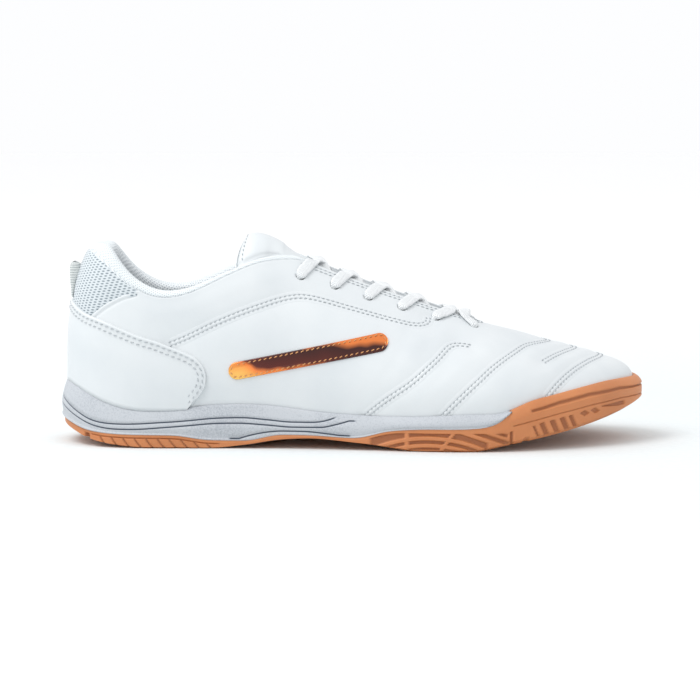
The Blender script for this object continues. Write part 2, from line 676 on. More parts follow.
@dataclass(frozen=True)
class CoatedLeather(Finish):
    """White coated leather: a smooth film with a faint pebble, so that light slides softly over it.

    Attributes:
        grain: size of the pebble in mm, drawn coarse so that it shows.
        film: size of the film's lumps in mm, drawn coarse so that they show.
        patch: size of its slow changes of tone in mm.
        holes: whether it shows the needle's holes along a seam.
        pitch: spacing of the holes in mm.
        row: distance of each row of holes from the middle of the seam in mm.
        hole: radius of a hole's bottom and of its soft rim in mm.
        prick: colour of the holes.
    """

    grain: float = 0.9
    film: float = 2.38
    patch: float = 35.7
    holes: bool = False
    pitch: float = 2.4
    row: float = 0.95
    hole: tuple[float, float] = (0.12, 0.34)
    prick: str = "#B4BBC0"

    def pattern(self, tree: NodeTree) -> dict:
        """Film with cell grain, a slow change of tone and, on seams, needle holes along two rows.

        Args:
            tree: the material's node tree.

        Returns:
            What fills the shader's sockets.
        """
        place = add(tree, "TexCoord").outputs["Object"]
        slow = add(tree, "TexNoise", {"Vector": place, "Scale": 1000 / self.patch, "Detail": 3.0})
        cells = add(tree, "TexVoronoi", {"Vector": place, "Scale": 1000 / self.grain}, feature="SMOOTH_F1")
        fine = add(tree, "TexNoise", {"Vector": place, "Scale": 1000 / self.film, "Detail": 6.0})
        tone = add(tree, "ValToRGB", {"Fac": slow}, ((0.30, self.shade), (0.62, self.base)))
        lumps = add(tree, "Math", {0: cells, 1: fine}, operation="MULTIPLY")
        bump = add(tree, "Bump", {"Height": lumps, "Strength": 0.10, "Distance": 0.2 * MM})
        wear = add(tree, "MapRange", {"Value": fine, "To Min": self.rough - 0.05, "To Max": self.rough + 0.08})
        if self.holes:
            pricks = self.needle_holes(tree)
            tone = add(tree, "Mix", {"Factor": pricks, 6: tone, 7: colour(self.prick)},
                       data_type="RGBA").outputs[2]
            bump = add(tree, "Bump", {"Height": pricks, "Strength": 0.5, "Distance": 0.4 * MM, "Normal": bump},
                       invert=True)
        return {"Base Color": tone, "Normal": bump, "Roughness": wear,
                "Coat Weight": 0.12, "Coat Roughness": 0.30}

    def needle_holes(self, tree: NodeTree) -> Node:
        """1 inside the needle's holes, which stand a stitch apart in two rows either side of the seam.

        A point's distance from the nearest hole is the length of its step along the row and off the row.

        Args:
            tree: the material's node tree.

        Returns:
            The node that gives the holes.
        """
        split = add(tree, "SeparateXYZ", {"Vector": add(tree, "UVMap", uv_map=WEAVE)})
        turns = add(tree, "Math", {0: split.outputs["X"], 1: self.pitch * MM}, operation="DIVIDE")
        wave = add(tree, "Math", {0: turns, 1: 0.5}, operation="ADD")
        part = add(tree, "Math", {0: wave}, operation="FRACT")
        along = add(tree, "Math", {0: part, 1: 0.5}, operation="SUBTRACT")
        along_mm = add(tree, "Math", {0: along, 1: self.pitch}, operation="MULTIPLY")
        side = add(tree, "Math", {0: split.outputs["Y"]}, operation="ABSOLUTE")
        off_mm = add(tree, "Math", {0: side, 1: 1 / MM, 2: -self.row}, operation="MULTIPLY_ADD")
        reach = add(tree, "VectorMath", {0: add(tree, "CombineXYZ", {0: along_mm, 1: off_mm})},
                    operation="LENGTH")
        return add(tree, "MapRange", {"Value": reach.outputs["Value"], "From Min": self.hole[0],
                                      "From Max": self.hole[1], "To Min": 1.0, "To Max": 0.0},
                   interpolation_type="SMOOTHSTEP")


@dataclass(frozen=True)
class SpacerMesh(Finish):
    """Knitted polyester spacer mesh: rows of small openings between raised yarns, matte and soft.

    Attributes:
        cell: spacing of the openings in mm, drawn a little coarse so that they show.
        open_share: how much of a cell is open.
        lean: how far the rows lean, in degrees.
        stretch: how much longer a cell is than it is wide.
        shake: how far the rows stray, in cells.
    """

    cell: float = 1.1
    open_share: float = 0.42
    lean: float = 30.0
    stretch: float = 1.0
    shake: float = 0.18

    def pattern(self, tree: NodeTree) -> dict:
        """Openings on a brick pattern of cells in the surface's own map, shaken a little by noise.

        Args:
            tree: the material's node tree.

        Returns:
            What fills the shader's sockets.
        """
        turned = add(tree, "Mapping", {"Vector": add(tree, "UVMap", uv_map=WEAVE),
                                       "Rotation": (0, 0, math.radians(self.lean)),
                                       "Scale": (1000 / (self.cell * self.stretch), 1000 / self.cell, 1.0)})
        jitter = add(tree, "TexNoise", {"Vector": turned, "Scale": 0.7, "Detail": 2.0})
        stray = add(tree, "MapRange", {"Value": jitter, "To Min": -self.shake, "To Max": self.shake})
        split = add(tree, "SeparateXYZ", {"Vector": turned})
        row = add(tree, "Math", {0: split.outputs["Y"], 1: stray}, operation="ADD")
        odd = add(tree, "Math", {0: add(tree, "Math", {0: row}, operation="FLOOR"), 1: 0.5,
                                 2: split.outputs["X"]}, operation="MULTIPLY_ADD")
        sides = [add(tree, "Math", {0: add(tree, "Math", {0: value}, operation="FRACT"), 1: 0.5},
                     operation="SUBTRACT") for value in (odd, row)]
        reach = add(tree, "VectorMath", {0: add(tree, "CombineXYZ", {0: sides[0], 1: sides[1]})},
                    operation="LENGTH")
        solid = add(tree, "MapRange", {"Value": reach.outputs["Value"], "From Min": self.open_share - 0.14,
                                       "From Max": self.open_share + 0.06})
        tone = add(tree, "ValToRGB", {"Fac": solid}, ((0.0, self.shade), (1.0, self.base)))
        yarn = add(tree, "TexNoise", {"Vector": turned, "Scale": 5.0, "Detail": 4.0})
        lumps = add(tree, "Math", {0: solid, 1: yarn}, operation="MULTIPLY")
        bump = add(tree, "Bump", {"Height": lumps, "Strength": 0.55, "Distance": 0.4 * MM})
        return {"Base Color": tone, "Normal": bump, "Sheen Weight": 0.25, "Sheen Roughness": 0.5}


@dataclass(frozen=True)
class Braid(Finish):
    """Braided or woven polyester: slanting ribs that meet along the middle, matte with a soft sheen.

    Attributes:
        rib: spacing of the ribs in mm.
        slant: how far a rib runs along for each step across.
        strength: how much the ribs stand out.
        fuzz: size of the yarn's fuzz in mm, drawn coarse so that it shows.
    """

    rib: float = 0.8
    slant: float = 0.9
    strength: float = 0.6
    fuzz: float = 0.667

    def pattern(self, tree: NodeTree) -> dict:
        """Ribs from a sine of the length plus the slant times the distance from the middle line.

        Args:
            tree: the material's node tree.

        Returns:
            What fills the shader's sockets.
        """
        split = add(tree, "SeparateXYZ", {"Vector": add(tree, "UVMap", uv_map=WEAVE)})
        side = add(tree, "Math", {0: split.outputs["Y"]}, operation="ABSOLUTE")
        sloped = add(tree, "Math", {0: side, 1: self.slant, 2: split.outputs["X"]}, operation="MULTIPLY_ADD")
        turns = add(tree, "Math", {0: sloped, 1: TURN * 1000 / self.rib}, operation="MULTIPLY")
        wave = add(tree, "Math", {0: turns}, operation="SINE")
        fuzz = add(tree, "TexNoise", {"Vector": add(tree, "TexCoord").outputs["Object"],
                                      "Scale": 1000 / self.fuzz, "Detail": 4.0})
        lumps = add(tree, "Math", {0: fuzz, 1: 1.2, 2: wave}, operation="MULTIPLY_ADD")
        amount = add(tree, "MapRange", {"Value": lumps, "From Min": -0.6, "From Max": 1.2})
        tone = add(tree, "ValToRGB", {"Fac": amount}, ((0.0, self.shade), (0.6, self.base)))
        bump = add(tree, "Bump", {"Height": lumps, "Strength": self.strength, "Distance": 0.16 * MM})
        return {"Base Color": tone, "Normal": bump, "Sheen Weight": 0.2}


@dataclass(frozen=True)
class MouldedFoam(Finish):
    """Compression moulded foam: a fine sand texture from the mould, with dark painted grooves.

    Attributes:
        line: colour of the paint.
        sand: size of the sand in mm, drawn coarse so that it shows.
        cloud: size of its slow changes of tone in mm.
    """

    line: str = "#4C5564"
    sand: float = 0.667
    cloud: float = 22.2

    def pattern(self, tree: NodeTree) -> dict:
        """Sand from noise of half a millimetre and more, and paint where the grooves are marked.

        Args:
            tree: the material's node tree.

        Returns:
            What fills the shader's sockets.
        """
        place = add(tree, "TexCoord").outputs["Object"]
        sand = add(tree, "TexNoise", {"Vector": place, "Scale": 1000 / self.sand,
                                      "Detail": 5.0, "Roughness": 0.7})
        slow = add(tree, "TexNoise", {"Vector": place, "Scale": 1000 / self.cloud, "Detail": 2.0})
        speck = add(tree, "MapRange", {"Value": sand, "From Min": 0.36, "From Max": 0.60})
        both = add(tree, "Math", {0: speck, 1: 0.7, 2: slow}, operation="MULTIPLY_ADD")
        tone = add(tree, "ValToRGB", {"Fac": both}, ((0.35, self.shade), (1.0, self.base)))
        mark = add(tree, "Attribute", attribute_name="groove").outputs["Fac"]
        paint = add(tree, "MapRange", {"Value": mark, "From Min": 0.25, "From Max": 0.75})
        mixed = add(tree, "Mix", {"Factor": paint, 6: tone, 7: colour(self.line)}, data_type="RGBA")
        bump = add(tree, "Bump", {"Height": sand, "Strength": 0.35, "Distance": 0.3 * MM})
        return {"Base Color": mixed.outputs[2], "Normal": bump}


@dataclass(frozen=True)
class GumRubber(Finish):
    """Gum rubber as it leaves the mould: warm, slightly see-through brown, darker in its grooves.

    Attributes:
        cloudy: colour of its darker clouds.
        cloud: size of the clouds in mm.
        skin: size of the moulded skin's lumps in mm, drawn coarse so that they show.
    """

    cloudy: str = "#B97344"
    cloud: float = 16.67
    skin: float = 0.909

    def pattern(self, tree: NodeTree) -> dict:
        """Slow cloudy tone, a fine skin and a darker brown where the mould cuts in.

        Args:
            tree: the material's node tree.

        Returns:
            What fills the shader's sockets.
        """
        place = add(tree, "TexCoord").outputs["Object"]
        cloud = add(tree, "TexNoise", {"Vector": place, "Scale": 1000 / self.cloud, "Detail": 4.0})
        skin = add(tree, "TexNoise", {"Vector": place, "Scale": 1000 / self.skin, "Detail": 4.0})
        tone = add(tree, "ValToRGB", {"Fac": cloud}, ((0.25, self.cloudy), (0.75, self.base)))
        mark = add(tree, "Attribute", attribute_name="groove").outputs["Fac"]
        mixed = add(tree, "Mix", {"Factor": mark, 6: tone, 7: colour(self.shade)}, data_type="RGBA")
        bump = add(tree, "Bump", {"Height": skin, "Strength": 0.14, "Distance": 0.3 * MM})
        return {"Base Color": mixed.outputs[2], "Normal": bump, "Subsurface Weight": 0.10,
                "Subsurface Radius": (4 * MM, 1.8 * MM, 0.8 * MM), "Subsurface Scale": 0.5}


@dataclass(frozen=True)
class CopperFoil(Finish):
    """Copper foil film over leather: mirror bright, gold at one end and burnt dark brown towards the other.

    Attributes:
        wave: size of the film's slow waves in mm.
    """

    wave: float = 22.2

    def pattern(self, tree: NodeTree) -> dict:
        """Metal whose tone runs along the bar in slow, crisp edged patches, as a bent film reflects.

        Args:
            tree: the material's node tree.

        Returns:
            What fills the shader's sockets.
        """
        split = add(tree, "SeparateXYZ", {"Vector": add(tree, "UVMap", uv_map=WEAVE)})
        wobble = add(tree, "TexNoise", {"Vector": add(tree, "TexCoord").outputs["Object"],
                                        "Scale": 1000 / self.wave, "Detail": 2.0})
        along = add(tree, "Math", {0: split.outputs["X"], 1: 9.0}, operation="MULTIPLY")
        across = add(tree, "Math", {0: split.outputs["Y"], 1: 42.0, 2: along}, operation="MULTIPLY_ADD")
        mixed = add(tree, "Math", {0: wobble, 1: 0.55, 2: across}, operation="MULTIPLY_ADD")
        tone = add(tree, "ValToRGB", {"Fac": mixed}, ((0.10, "#F6C765"), (0.30, "#F0A24C"), (0.42, self.base),
                                                      (0.50, "#5A1F14"), (0.80, self.shade), (0.92, "#E8803C")))
        bump = add(tree, "Bump", {"Height": wobble, "Strength": 0.25, "Distance": 0.8 * MM})
        return {"Base Color": tone, "Normal": bump, "Metallic": 0.85,
                "Coat Weight": 0.6, "Coat Roughness": 0.05}


@dataclass(frozen=True)
class WhitePaper(Finish):
    """White paper floor: matte, with a faint fibre, and lit out to pure white away from the shoe.

    Attributes:
        fibre: size of its faint mottling in mm.
        near: distance from the shoe's middle where it starts to whiten, in metres.
        far: distance where it is white.
    """

    fibre: float = 3.333
    near: float = 0.25
    far: float = 1.1

    def pattern(self, tree: NodeTree) -> dict:
        """Mottled paper that turns white between two distances from the middle.

        Args:
            tree: the material's node tree.

        Returns:
            What fills the shader's sockets.
        """
        place = add(tree, "TexCoord").outputs["Object"]
        fibre = add(tree, "TexNoise", {"Vector": place, "Scale": 1000 / self.fibre})
        tone = add(tree, "ValToRGB", {"Fac": fibre}, ((0.3, self.shade), (0.7, self.base)))
        away = add(tree, "VectorMath", {0: place}, operation="LENGTH")
        fade = add(tree, "MapRange", {"Value": away.outputs["Value"],
                                      "From Min": self.near, "From Max": self.far})
        mixed = add(tree, "Mix", {"Factor": fade, 6: tone, 7: colour("#FFFFFF")}, data_type="RGBA")
        return {"Base Color": mixed.outputs[2]}


class Finishes:
    """Every finish of the shoe, made once."""

    def __init__(self) -> None:
        """Makes the materials."""
        leather = ("#D4D8DA", "#CCD1D4", 0.40)
        self.leather = CoatedLeather("white coated leather", *leather).make()
        self.seam = CoatedLeather("white coated leather along a seam", *leather, holes=True).make()
        self.lining = SpacerMesh("grey knitted lining", "#EAEEF0", "#B4BCC2", 0.9, cell=1.4, open_share=0.34,
                                 lean=12.0).make()
        self.heel_mesh = SpacerMesh("white spacer mesh with open cells", "#CDD4D8", "#7B868E", 0.85, cell=1.15,
                                    open_share=0.33, lean=-17.0, stretch=2.5).make()
        self.roll = SpacerMesh("white close knitted mesh", "#E2E7E9", "#A9B3BA", 0.85, cell=1.15,
                               open_share=0.24, lean=20.0).make()
        self.sock = SpacerMesh("white woven sock lining", "#D8DCE0", "#AEB5BC", 0.9, cell=1.2, open_share=0.2,
                               lean=45.0).make()
        self.thread = Braid("white bonded polyester thread", "#C2C8CC", "#9AA1A7", 0.6, rib=0.45).make()
        self.copper_thread = Braid("copper coloured thread", "#F2AE6C", "#8A4A22", 0.5, rib=0.45).make()
        self.lace = Braid("white flat braided lace", "#EFF1F2", "#C6CBCF", 0.85, rib=1.0, strength=0.8).make()
        self.tape = Braid("ribbed woven tape", "#CFD3D2", "#9FA6A7", 0.9, rib=1.25, slant=0.0,
                          strength=0.8).make()
        self.foam = MouldedFoam("moulded foam with sand texture", "#B9BDC2", "#A0A5AC", 0.62).make()
        self.gum = GumRubber("moulded gum rubber", "#C98150", "#90522C", 0.50).make()
        self.foil = CopperFoil("copper foil film", "#EE8038", "#3A120E", 0.16).make()


def seam_line(knots: tuple, side: Side, closed_over_toe: bool = False,
              soft: float = 4.0) -> tuple[Array, Array]:
    """A line on the skin through its knots, read at even spacing in space and rounded a little.

    Args:
        knots: pairs of a station and a share of the rib, for the outer side.
        side: the side of the shoe.
        closed_over_toe: whether the line goes on over the toe as its own mirror image.
        soft: how many points the corners are rounded over.

    Returns:
        Ring angles and shares of the points.
    """
    angle = angle_at([k[0] for k in knots])
    share = np.array([k[1] for k in knots], float)
    if closed_over_toe:
        angle, share = np.concatenate([angle, TURN - angle[-2::-1]]), np.concatenate([share, share[-2::-1]])
    else:
        angle = side.turned(angle)
    run = run_along(LAST.rib(angle, share))
    at = np.linspace(0, run[-1], max(int(run[-1] / SPACING), 8))
    angle, share = hermite(run, angle, at), hermite(run, share, at)
    reach = int(3 * soft)
    bell = np.exp(-0.5 * (np.arange(-reach, reach + 1) / soft) ** 2)
    rounded = []
    for values in (angle, share):
        ends = np.concatenate([2 * values[0] - values[reach:0:-1], values,
                               2 * values[-1] - values[-2:-reach - 2:-1]])
        rounded.append(np.convolve(ends, bell / bell.sum(), "valid"))
    angle, share = rounded
    run = run_along(LAST.rib(angle, share))
    at = np.linspace(0, run[-1], len(angle))
    return np.interp(at, run, angle), np.interp(at, run, share)


def across_seam(angle: Array, share: Array) -> Array:
    """Directions across a line on the skin: the cross product of the way out and the way along."""
    return unit(np.cross(LAST.normal(angle, share), unit(np.gradient(LAST.rib(angle, share), axis=0))))


@dataclass
class StitchRows:
    """Rows of stitches: each is a short thread that rises from one needle hole and sinks into the next.

    Attributes:
        thread: thickness of the thread.
        threads: the points of the stitches gathered so far.
        sides: corners of a thread's section.
        rings: sections along a stitch.
    """

    thread: float = 0.00040
    threads: list[Array] = field(default_factory=list)
    sides: int = 6
    rings: int = 6

    def lay(self, line: Array, out: Array, pitch: float) -> None:
        """Adds a row along a line of points.

        A stitch's middle line is the line lifted by a half sine of its length; its section is a circle that
        closes to a point at both ends. Twisted thread leans a little across the row.

        Args:
            line: points of the row, close together.
            out: outward direction at each.
            pitch: stitch length, in metres.
        """
        run = run_along(line)
        count = max(int(run[-1] / pitch), 1)
        u = np.linspace(0, 1, self.rings)
        at = (np.arange(count)[:, None] + 0.17 + 0.66 * u[None, :]) * pitch
        centre = np.stack([np.interp(at, run, line[:, k]) for k in range(3)], axis=-1)
        rise = unit(np.stack([np.interp(at, run, out[:, k]) for k in range(3)], axis=-1))
        along = unit(np.gradient(centre, axis=1))
        across = unit(np.cross(rise, along))
        arch = np.sin(math.pi * u)[None, :, None]
        twist = (u - 0.5)[None, :, None] * 1.1
        centre = centre + self.thread * (rise * (0.85 * arch - 0.45) + across * twist)
        size = self.thread / 2 * np.sqrt(np.clip(1 - (2 * u - 1) ** 6, 0.02, 1))
        turn = np.arange(self.sides) * TURN / self.sides
        ray = (across[:, :, None] * np.cos(turn)[None, None, :, None] * 1.15
               + rise[:, :, None] * np.sin(turn)[None, None, :, None])
        self.threads.append(centre[:, :, None] + ray * size[None, :, None, None])

    def build(self, name: str, finish: Material) -> Object:
        """One mesh with every stitch of the rows, each a tube of rings with both ends closed.

        Args:
            name: name of the piece.
            finish: the thread.

        Returns:
            The object.
        """
        points = np.concatenate(self.threads)
        n, r, s = points.shape[:3]
        base = (np.arange(n) * r * s)[:, None, None]
        i, j = np.meshgrid(np.arange(r - 1), np.arange(s), indexing="ij")
        quad = np.stack([i * s + j, i * s + (j + 1) % s, (i + 1) * s + (j + 1) % s, (i + 1) * s + j], axis=-1)
        quads = (base[..., None] + quad[None]).reshape(-1, 4)
        caps = np.concatenate([np.arange(s)[None, ::-1], (r - 1) * s + np.arange(s)[None]])
        ends = (base + caps[None]).reshape(-1, s)
        length = np.broadcast_to(np.linspace(0, 2.2, r)[None, :, None], (n, r, s))
        roundness = np.broadcast_to(np.linspace(-0.4, 0.4, s)[None, None, :], (n, r, s))
        uv = np.stack([length, roundness], axis=-1).reshape(-1, 2)
        corners = np.concatenate([uv[quads.ravel()], uv[ends.ravel()]])
        return add_mesh(name, points, quads.tolist() + ends.tolist(), corners, [finish])


@dataclass
class Upper:
    """The leather shell with its seams: outer skin, rolled edge, inner wall and lace holes.

    Attributes:
        columns: ribs round the ring.
        rows: steps up a rib.
        trough: how deep the skin dips at a seam.
        trough_reach: how far the dip reaches.
        swell: how far the leather puffs out between its seams.
        swell_reach: how far from a seam it has risen.
        row_gap: half the distance between the two rows of a seam.
        facing_row: how far the facing's double row lies below its edge.
        rib_length: length of a mean rib.
        hole: diameter of a lace hole.
        hole_inset: how far the holes lie below the facing's edge.
        pairs: how many pairs of holes there are.
        hole_run: stations of the top and the front pair.
        lines: ring angles and shares of every seam.
        line_points: points along all of them.
    """

    columns: int = 600
    rows: int = 84
    trough: float = 0.00045
    trough_reach: float = 0.0034
    swell: float = 0.0006
    swell_reach: float = 0.009
    row_gap: float = 0.00095
    facing_row: float = 0.0027
    rib_length: float = 0.075
    hole: float = 0.0046
    hole_inset: float = 0.0095
    pairs: int = 6
    hole_run: tuple[float, float] = (0.408, 0.690)
    lines: dict[str, tuple[Array, Array]] = field(default_factory=dict)
    line_points: Array | None = None

    def __post_init__(self) -> None:
        """Lays the seam lines out on both sides."""
        for name, knots in SEAMS.items():
            over = name in ("vamp_front", "toe", "toe_short")
            for side in ((Side.OUTER,) if over else (Side.OUTER, Side.INNER)):
                self.lines[f"{name}_{side.name.lower()}"] = seam_line(knots, side, over)
        self.line_points = np.concatenate([LAST.rib(a, s)[::2] for a, s in self.lines.values()])

    def relief(self, angle: Array, share: Array) -> Array:
        """How far the leather stands off the smooth skin.

        It is the swell, less a bell shaped trough round each seam, less the soft flex creases over the ball.

        Args:
            angle: ring angles.
            share: shares of the rib.

        Returns:
            The lift in metres.
        """
        points = LAST.rib(angle, share)
        flat = points.reshape(-1, 3)
        near = np.full(len(flat), 1.0)
        for part in np.array_split(self.line_points, 8):
            for block in range(0, len(flat), 20000):
                gap = np.linalg.norm(flat[block:block + 20000, None] - part[None], axis=2).min(1)
                near[block:block + 20000] = np.minimum(near[block:block + 20000], gap)
        near = near.reshape(angle.shape)
        dip = self.trough * np.exp(-(near / self.trough_reach) ** 2)
        puff = self.swell * (1 - np.exp(-(near / self.swell_reach) ** 2)) * smooth_step(0.04, 0.25, share)
        puff = puff * smooth_step(0.0, 0.14, 1 - share)
        return puff - dip - self.flex(points, share)

    def flex(self, points: Array, share: Array) -> Array:
        """Soft creases over the ball: bells across slanting, wavy lines, strongest half way up.

        Args:
            points: points of the skin.
            share: their shares of the rib.

        Returns:
            Depth in metres.
        """
        x, y, z = (points[..., k] for k in range(3))
        total = np.zeros(x.shape)
        for foot, depth, wide in ((0.030, 0.00022, 0.0042), (0.017, 0.00016, 0.0034), (0.043, 0.00020, 0.0046)):
            off = x - foot - 0.55 * (z - 0.040) - 0.0015 * np.sin(y * 140)
            total += depth * np.exp(-(off / wide) ** 2)
        return total * smooth_step(0.15, 0.35, share) * smooth_step(0.0, 0.30, 0.98 - share)

    def top_share(self, angle: Array) -> Array:
        """Where the leather ends on each rib."""
        return np.interp(along_at(angle), LEATHER_TOP["along"], LEATHER_TOP["share"])

    def build(self, finishes: Finishes) -> None:
        """The shell: rows up the outside, round the edge, and down the inside wall.

        Args:
            finishes: the shoe's finishes.
        """
        angle = np.arange(self.columns) * TURN / self.columns
        top = self.top_share(angle)
        rim = LAST.share_at_height(angle, LAST.height("rim", angle))
        climb = np.concatenate([[0.0, 0.55, 0.88], np.linspace(1.0, 2.0, self.rows - 3)])
        share = np.where(climb[None] < 1, climb[None] * rim[:, None],
                         rim[:, None] + (climb[None] - 1) * (top - rim)[:, None])
        turn = np.broadcast_to(angle[:, None], share.shape)
        lift = self.relief(turn, share)
        notch = smooth_step(0.0, 0.012, 1 - top)[:, None]
        below = (top[:, None] - share) * self.rib_length
        fold = notch * (0.00035 * np.exp(-((below - 0.0008) / 0.0011) ** 2)
                        - 0.00040 * np.exp(-((below - 0.0024) / 0.0007) ** 2))
        outer = LAST.skin(turn, share, lift + fold)
        edge_rows, inner_rows = [], []
        for bend in (0.25, 0.5, 0.75, 1.0):
            drop = -LAST.wall * 0.5 * (1 - math.cos(bend * math.pi))
            past = top + 0.35 * LAST.wall * math.sin(bend * math.pi) / self.rib_length
            edge_rows.append(LAST.skin(angle, past, drop + lift[:, -1] * (1 - bend)))
        for down in np.linspace(0.97, 0.0, 22):
            row = LAST.skin(angle, top * down, -LAST.wall)
            row[:, 2] = np.maximum(row[:, 2], outer[:, 0, 2])
            inner_rows.append(row)
        grid = np.concatenate([outer, np.stack(edge_rows + inner_rows, axis=1)], axis=1)
        which = np.zeros(grid.shape[1], int)
        which[self.rows + 4:] = 1
        shell = grid_mesh("upper_leather", grid, [finishes.leather, finishes.lining], True, which)
        self.punch(shell)
        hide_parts("upper")

    def hole_angle(self, number: int, side: Side) -> float:
        """Ring angle of the rib that carries a lace hole, by reading the topline's x.

        Args:
            number: number of the hole from the top, 0 first.
            side: side of the shoe.

        Returns:
            The ring angle.
        """
        scan = np.linspace(angle_at(0.40), angle_at(0.97), 400)
        first, last = (LAST.length * (station - 0.5) for station in self.hole_run)
        at = first + (last - first) * number / (self.pairs - 1)
        return float(side.turned(np.interp(at, LAST.topline(scan)[:, 0], scan)))

    def share_below(self, angle: float, distance: float) -> float:
        """The share of a rib that lies a distance below the topline, along the skin.

        Args:
            angle: ring angle of the rib.
            distance: distance in metres.

        Returns:
            The share.
        """
        share = np.linspace(1, 0.4, 120)
        line = LAST.rib(np.full_like(share, angle), share)
        run = run_along(line)
        return float(np.interp(distance, run, share))

    def punch(self, shell: Object) -> None:
        """Cuts the lace holes through the shell with round rods.

        Args:
            shell: the leather.
        """
        points, faces, sides, reach = [], [], 20, 0.006
        turn = np.arange(sides) * TURN / sides
        for side in Side:
            for number in range(self.pairs):
                angle = self.hole_angle(number, side)
                share = self.share_below(angle, self.hole_inset)
                a, s = np.array([angle]), np.array([share])
                centre, axis = LAST.skin(a, s)[0], LAST.normal(a, s)[0]
                flat = unit(np.cross(axis, UP))
                rise = np.cross(axis, flat)
                ray = (flat * np.cos(turn)[:, None] + rise * np.sin(turn)[:, None]) * self.hole / 2
                first = len(points) * sides
                points += [centre + ray - axis * reach, centre + ray + axis * reach]
                foot, head = ([first + end + k for k in range(sides)] for end in (0, sides))
                faces += [foot[::-1], head]
                faces += [[foot[k], foot[(k + 1) % sides], head[(k + 1) % sides], head[k]]
                          for k in range(sides)]
        rods = add_mesh("lace_hole_rods", np.concatenate(points), faces, None, [])
        change = shell.modifiers.new("holes", "BOOLEAN")
        change.operation, change.solver, change.object = "DIFFERENCE", "EXACT", rods
        bpy.context.view_layer.update()
        cut = bpy.data.meshes.new_from_object(shell.evaluated_get(bpy.context.evaluated_depsgraph_get()))
        shell.modifiers.clear()
        shell.data = cut
        bpy.data.objects.remove(rods)

    def add_seam(self, name: str, angle: Array, share: Array, finish: Material, stitches: StitchRows) -> None:
        """A stitched seam: a narrow strip of leather over the line, with a ridge between two sunk rows.

        Args:
            name: name of the strip.
            angle: ring angles of the line.
            share: shares of the line.
            finish: its finish.
            stitches: rows that take its stitches.
        """
        across = across_seam(angle, share)
        half = np.array(SEAM_SECTION) * MM
        offsets = np.concatenate([-half[:0:-1, 0], half[:, 0]])
        heights = np.concatenate([half[:0:-1, 1], half[:, 1]])
        fade = smooth_step(0, 5, np.arange(len(angle))) * smooth_step(0, 5, np.arange(len(angle))[::-1])
        turn, up = (np.repeat(values[:, None], len(offsets), 1) for values in (angle, share))
        turn, up = LAST.moved(turn, up, across[:, None] * offsets[None, :, None])
        fade = fade[:, None]
        lift = self.relief(turn, up) + 0.00005 + heights[None] * fade - 0.0001 * (1 - fade)
        run = run_along(LAST.rib(angle, share))
        uv = np.stack(np.broadcast_arrays(run[:, None], offsets[None]), axis=-1) / MM
        plate_mesh(name, LAST.skin(turn, up, lift), LAST.skin(turn, up, -0.0009), [finish], uv=uv)
        for offset in (-self.row_gap, self.row_gap):
            a, s = LAST.moved(angle, share, across * offset)
            stitches.lay(LAST.skin(a, s, self.relief(a, s) + 0.0002), LAST.normal(a, s), STITCH)

    def sew(self, finishes: Finishes, stitches: StitchRows) -> None:
        """Every double row on the leather, and the double row along both lace facings.

        Args:
            finishes: the shoe's finishes.
            stitches: rows that take the stitches.
        """
        for name, (angle, share) in self.lines.items():
            self.add_seam(f"seam_{name}", angle, share, finishes.seam, stitches)
        along = np.concatenate([np.linspace(0.43, 0.99, 60), [1.0]])
        share = np.array([self.share_below(float(angle_at(a)), self.facing_row) for a in along])
        angle, share = seam_line(tuple(zip(along, share)), Side.OUTER, True)
        self.add_seam("seam_facing", angle, share, finishes.seam, stitches)


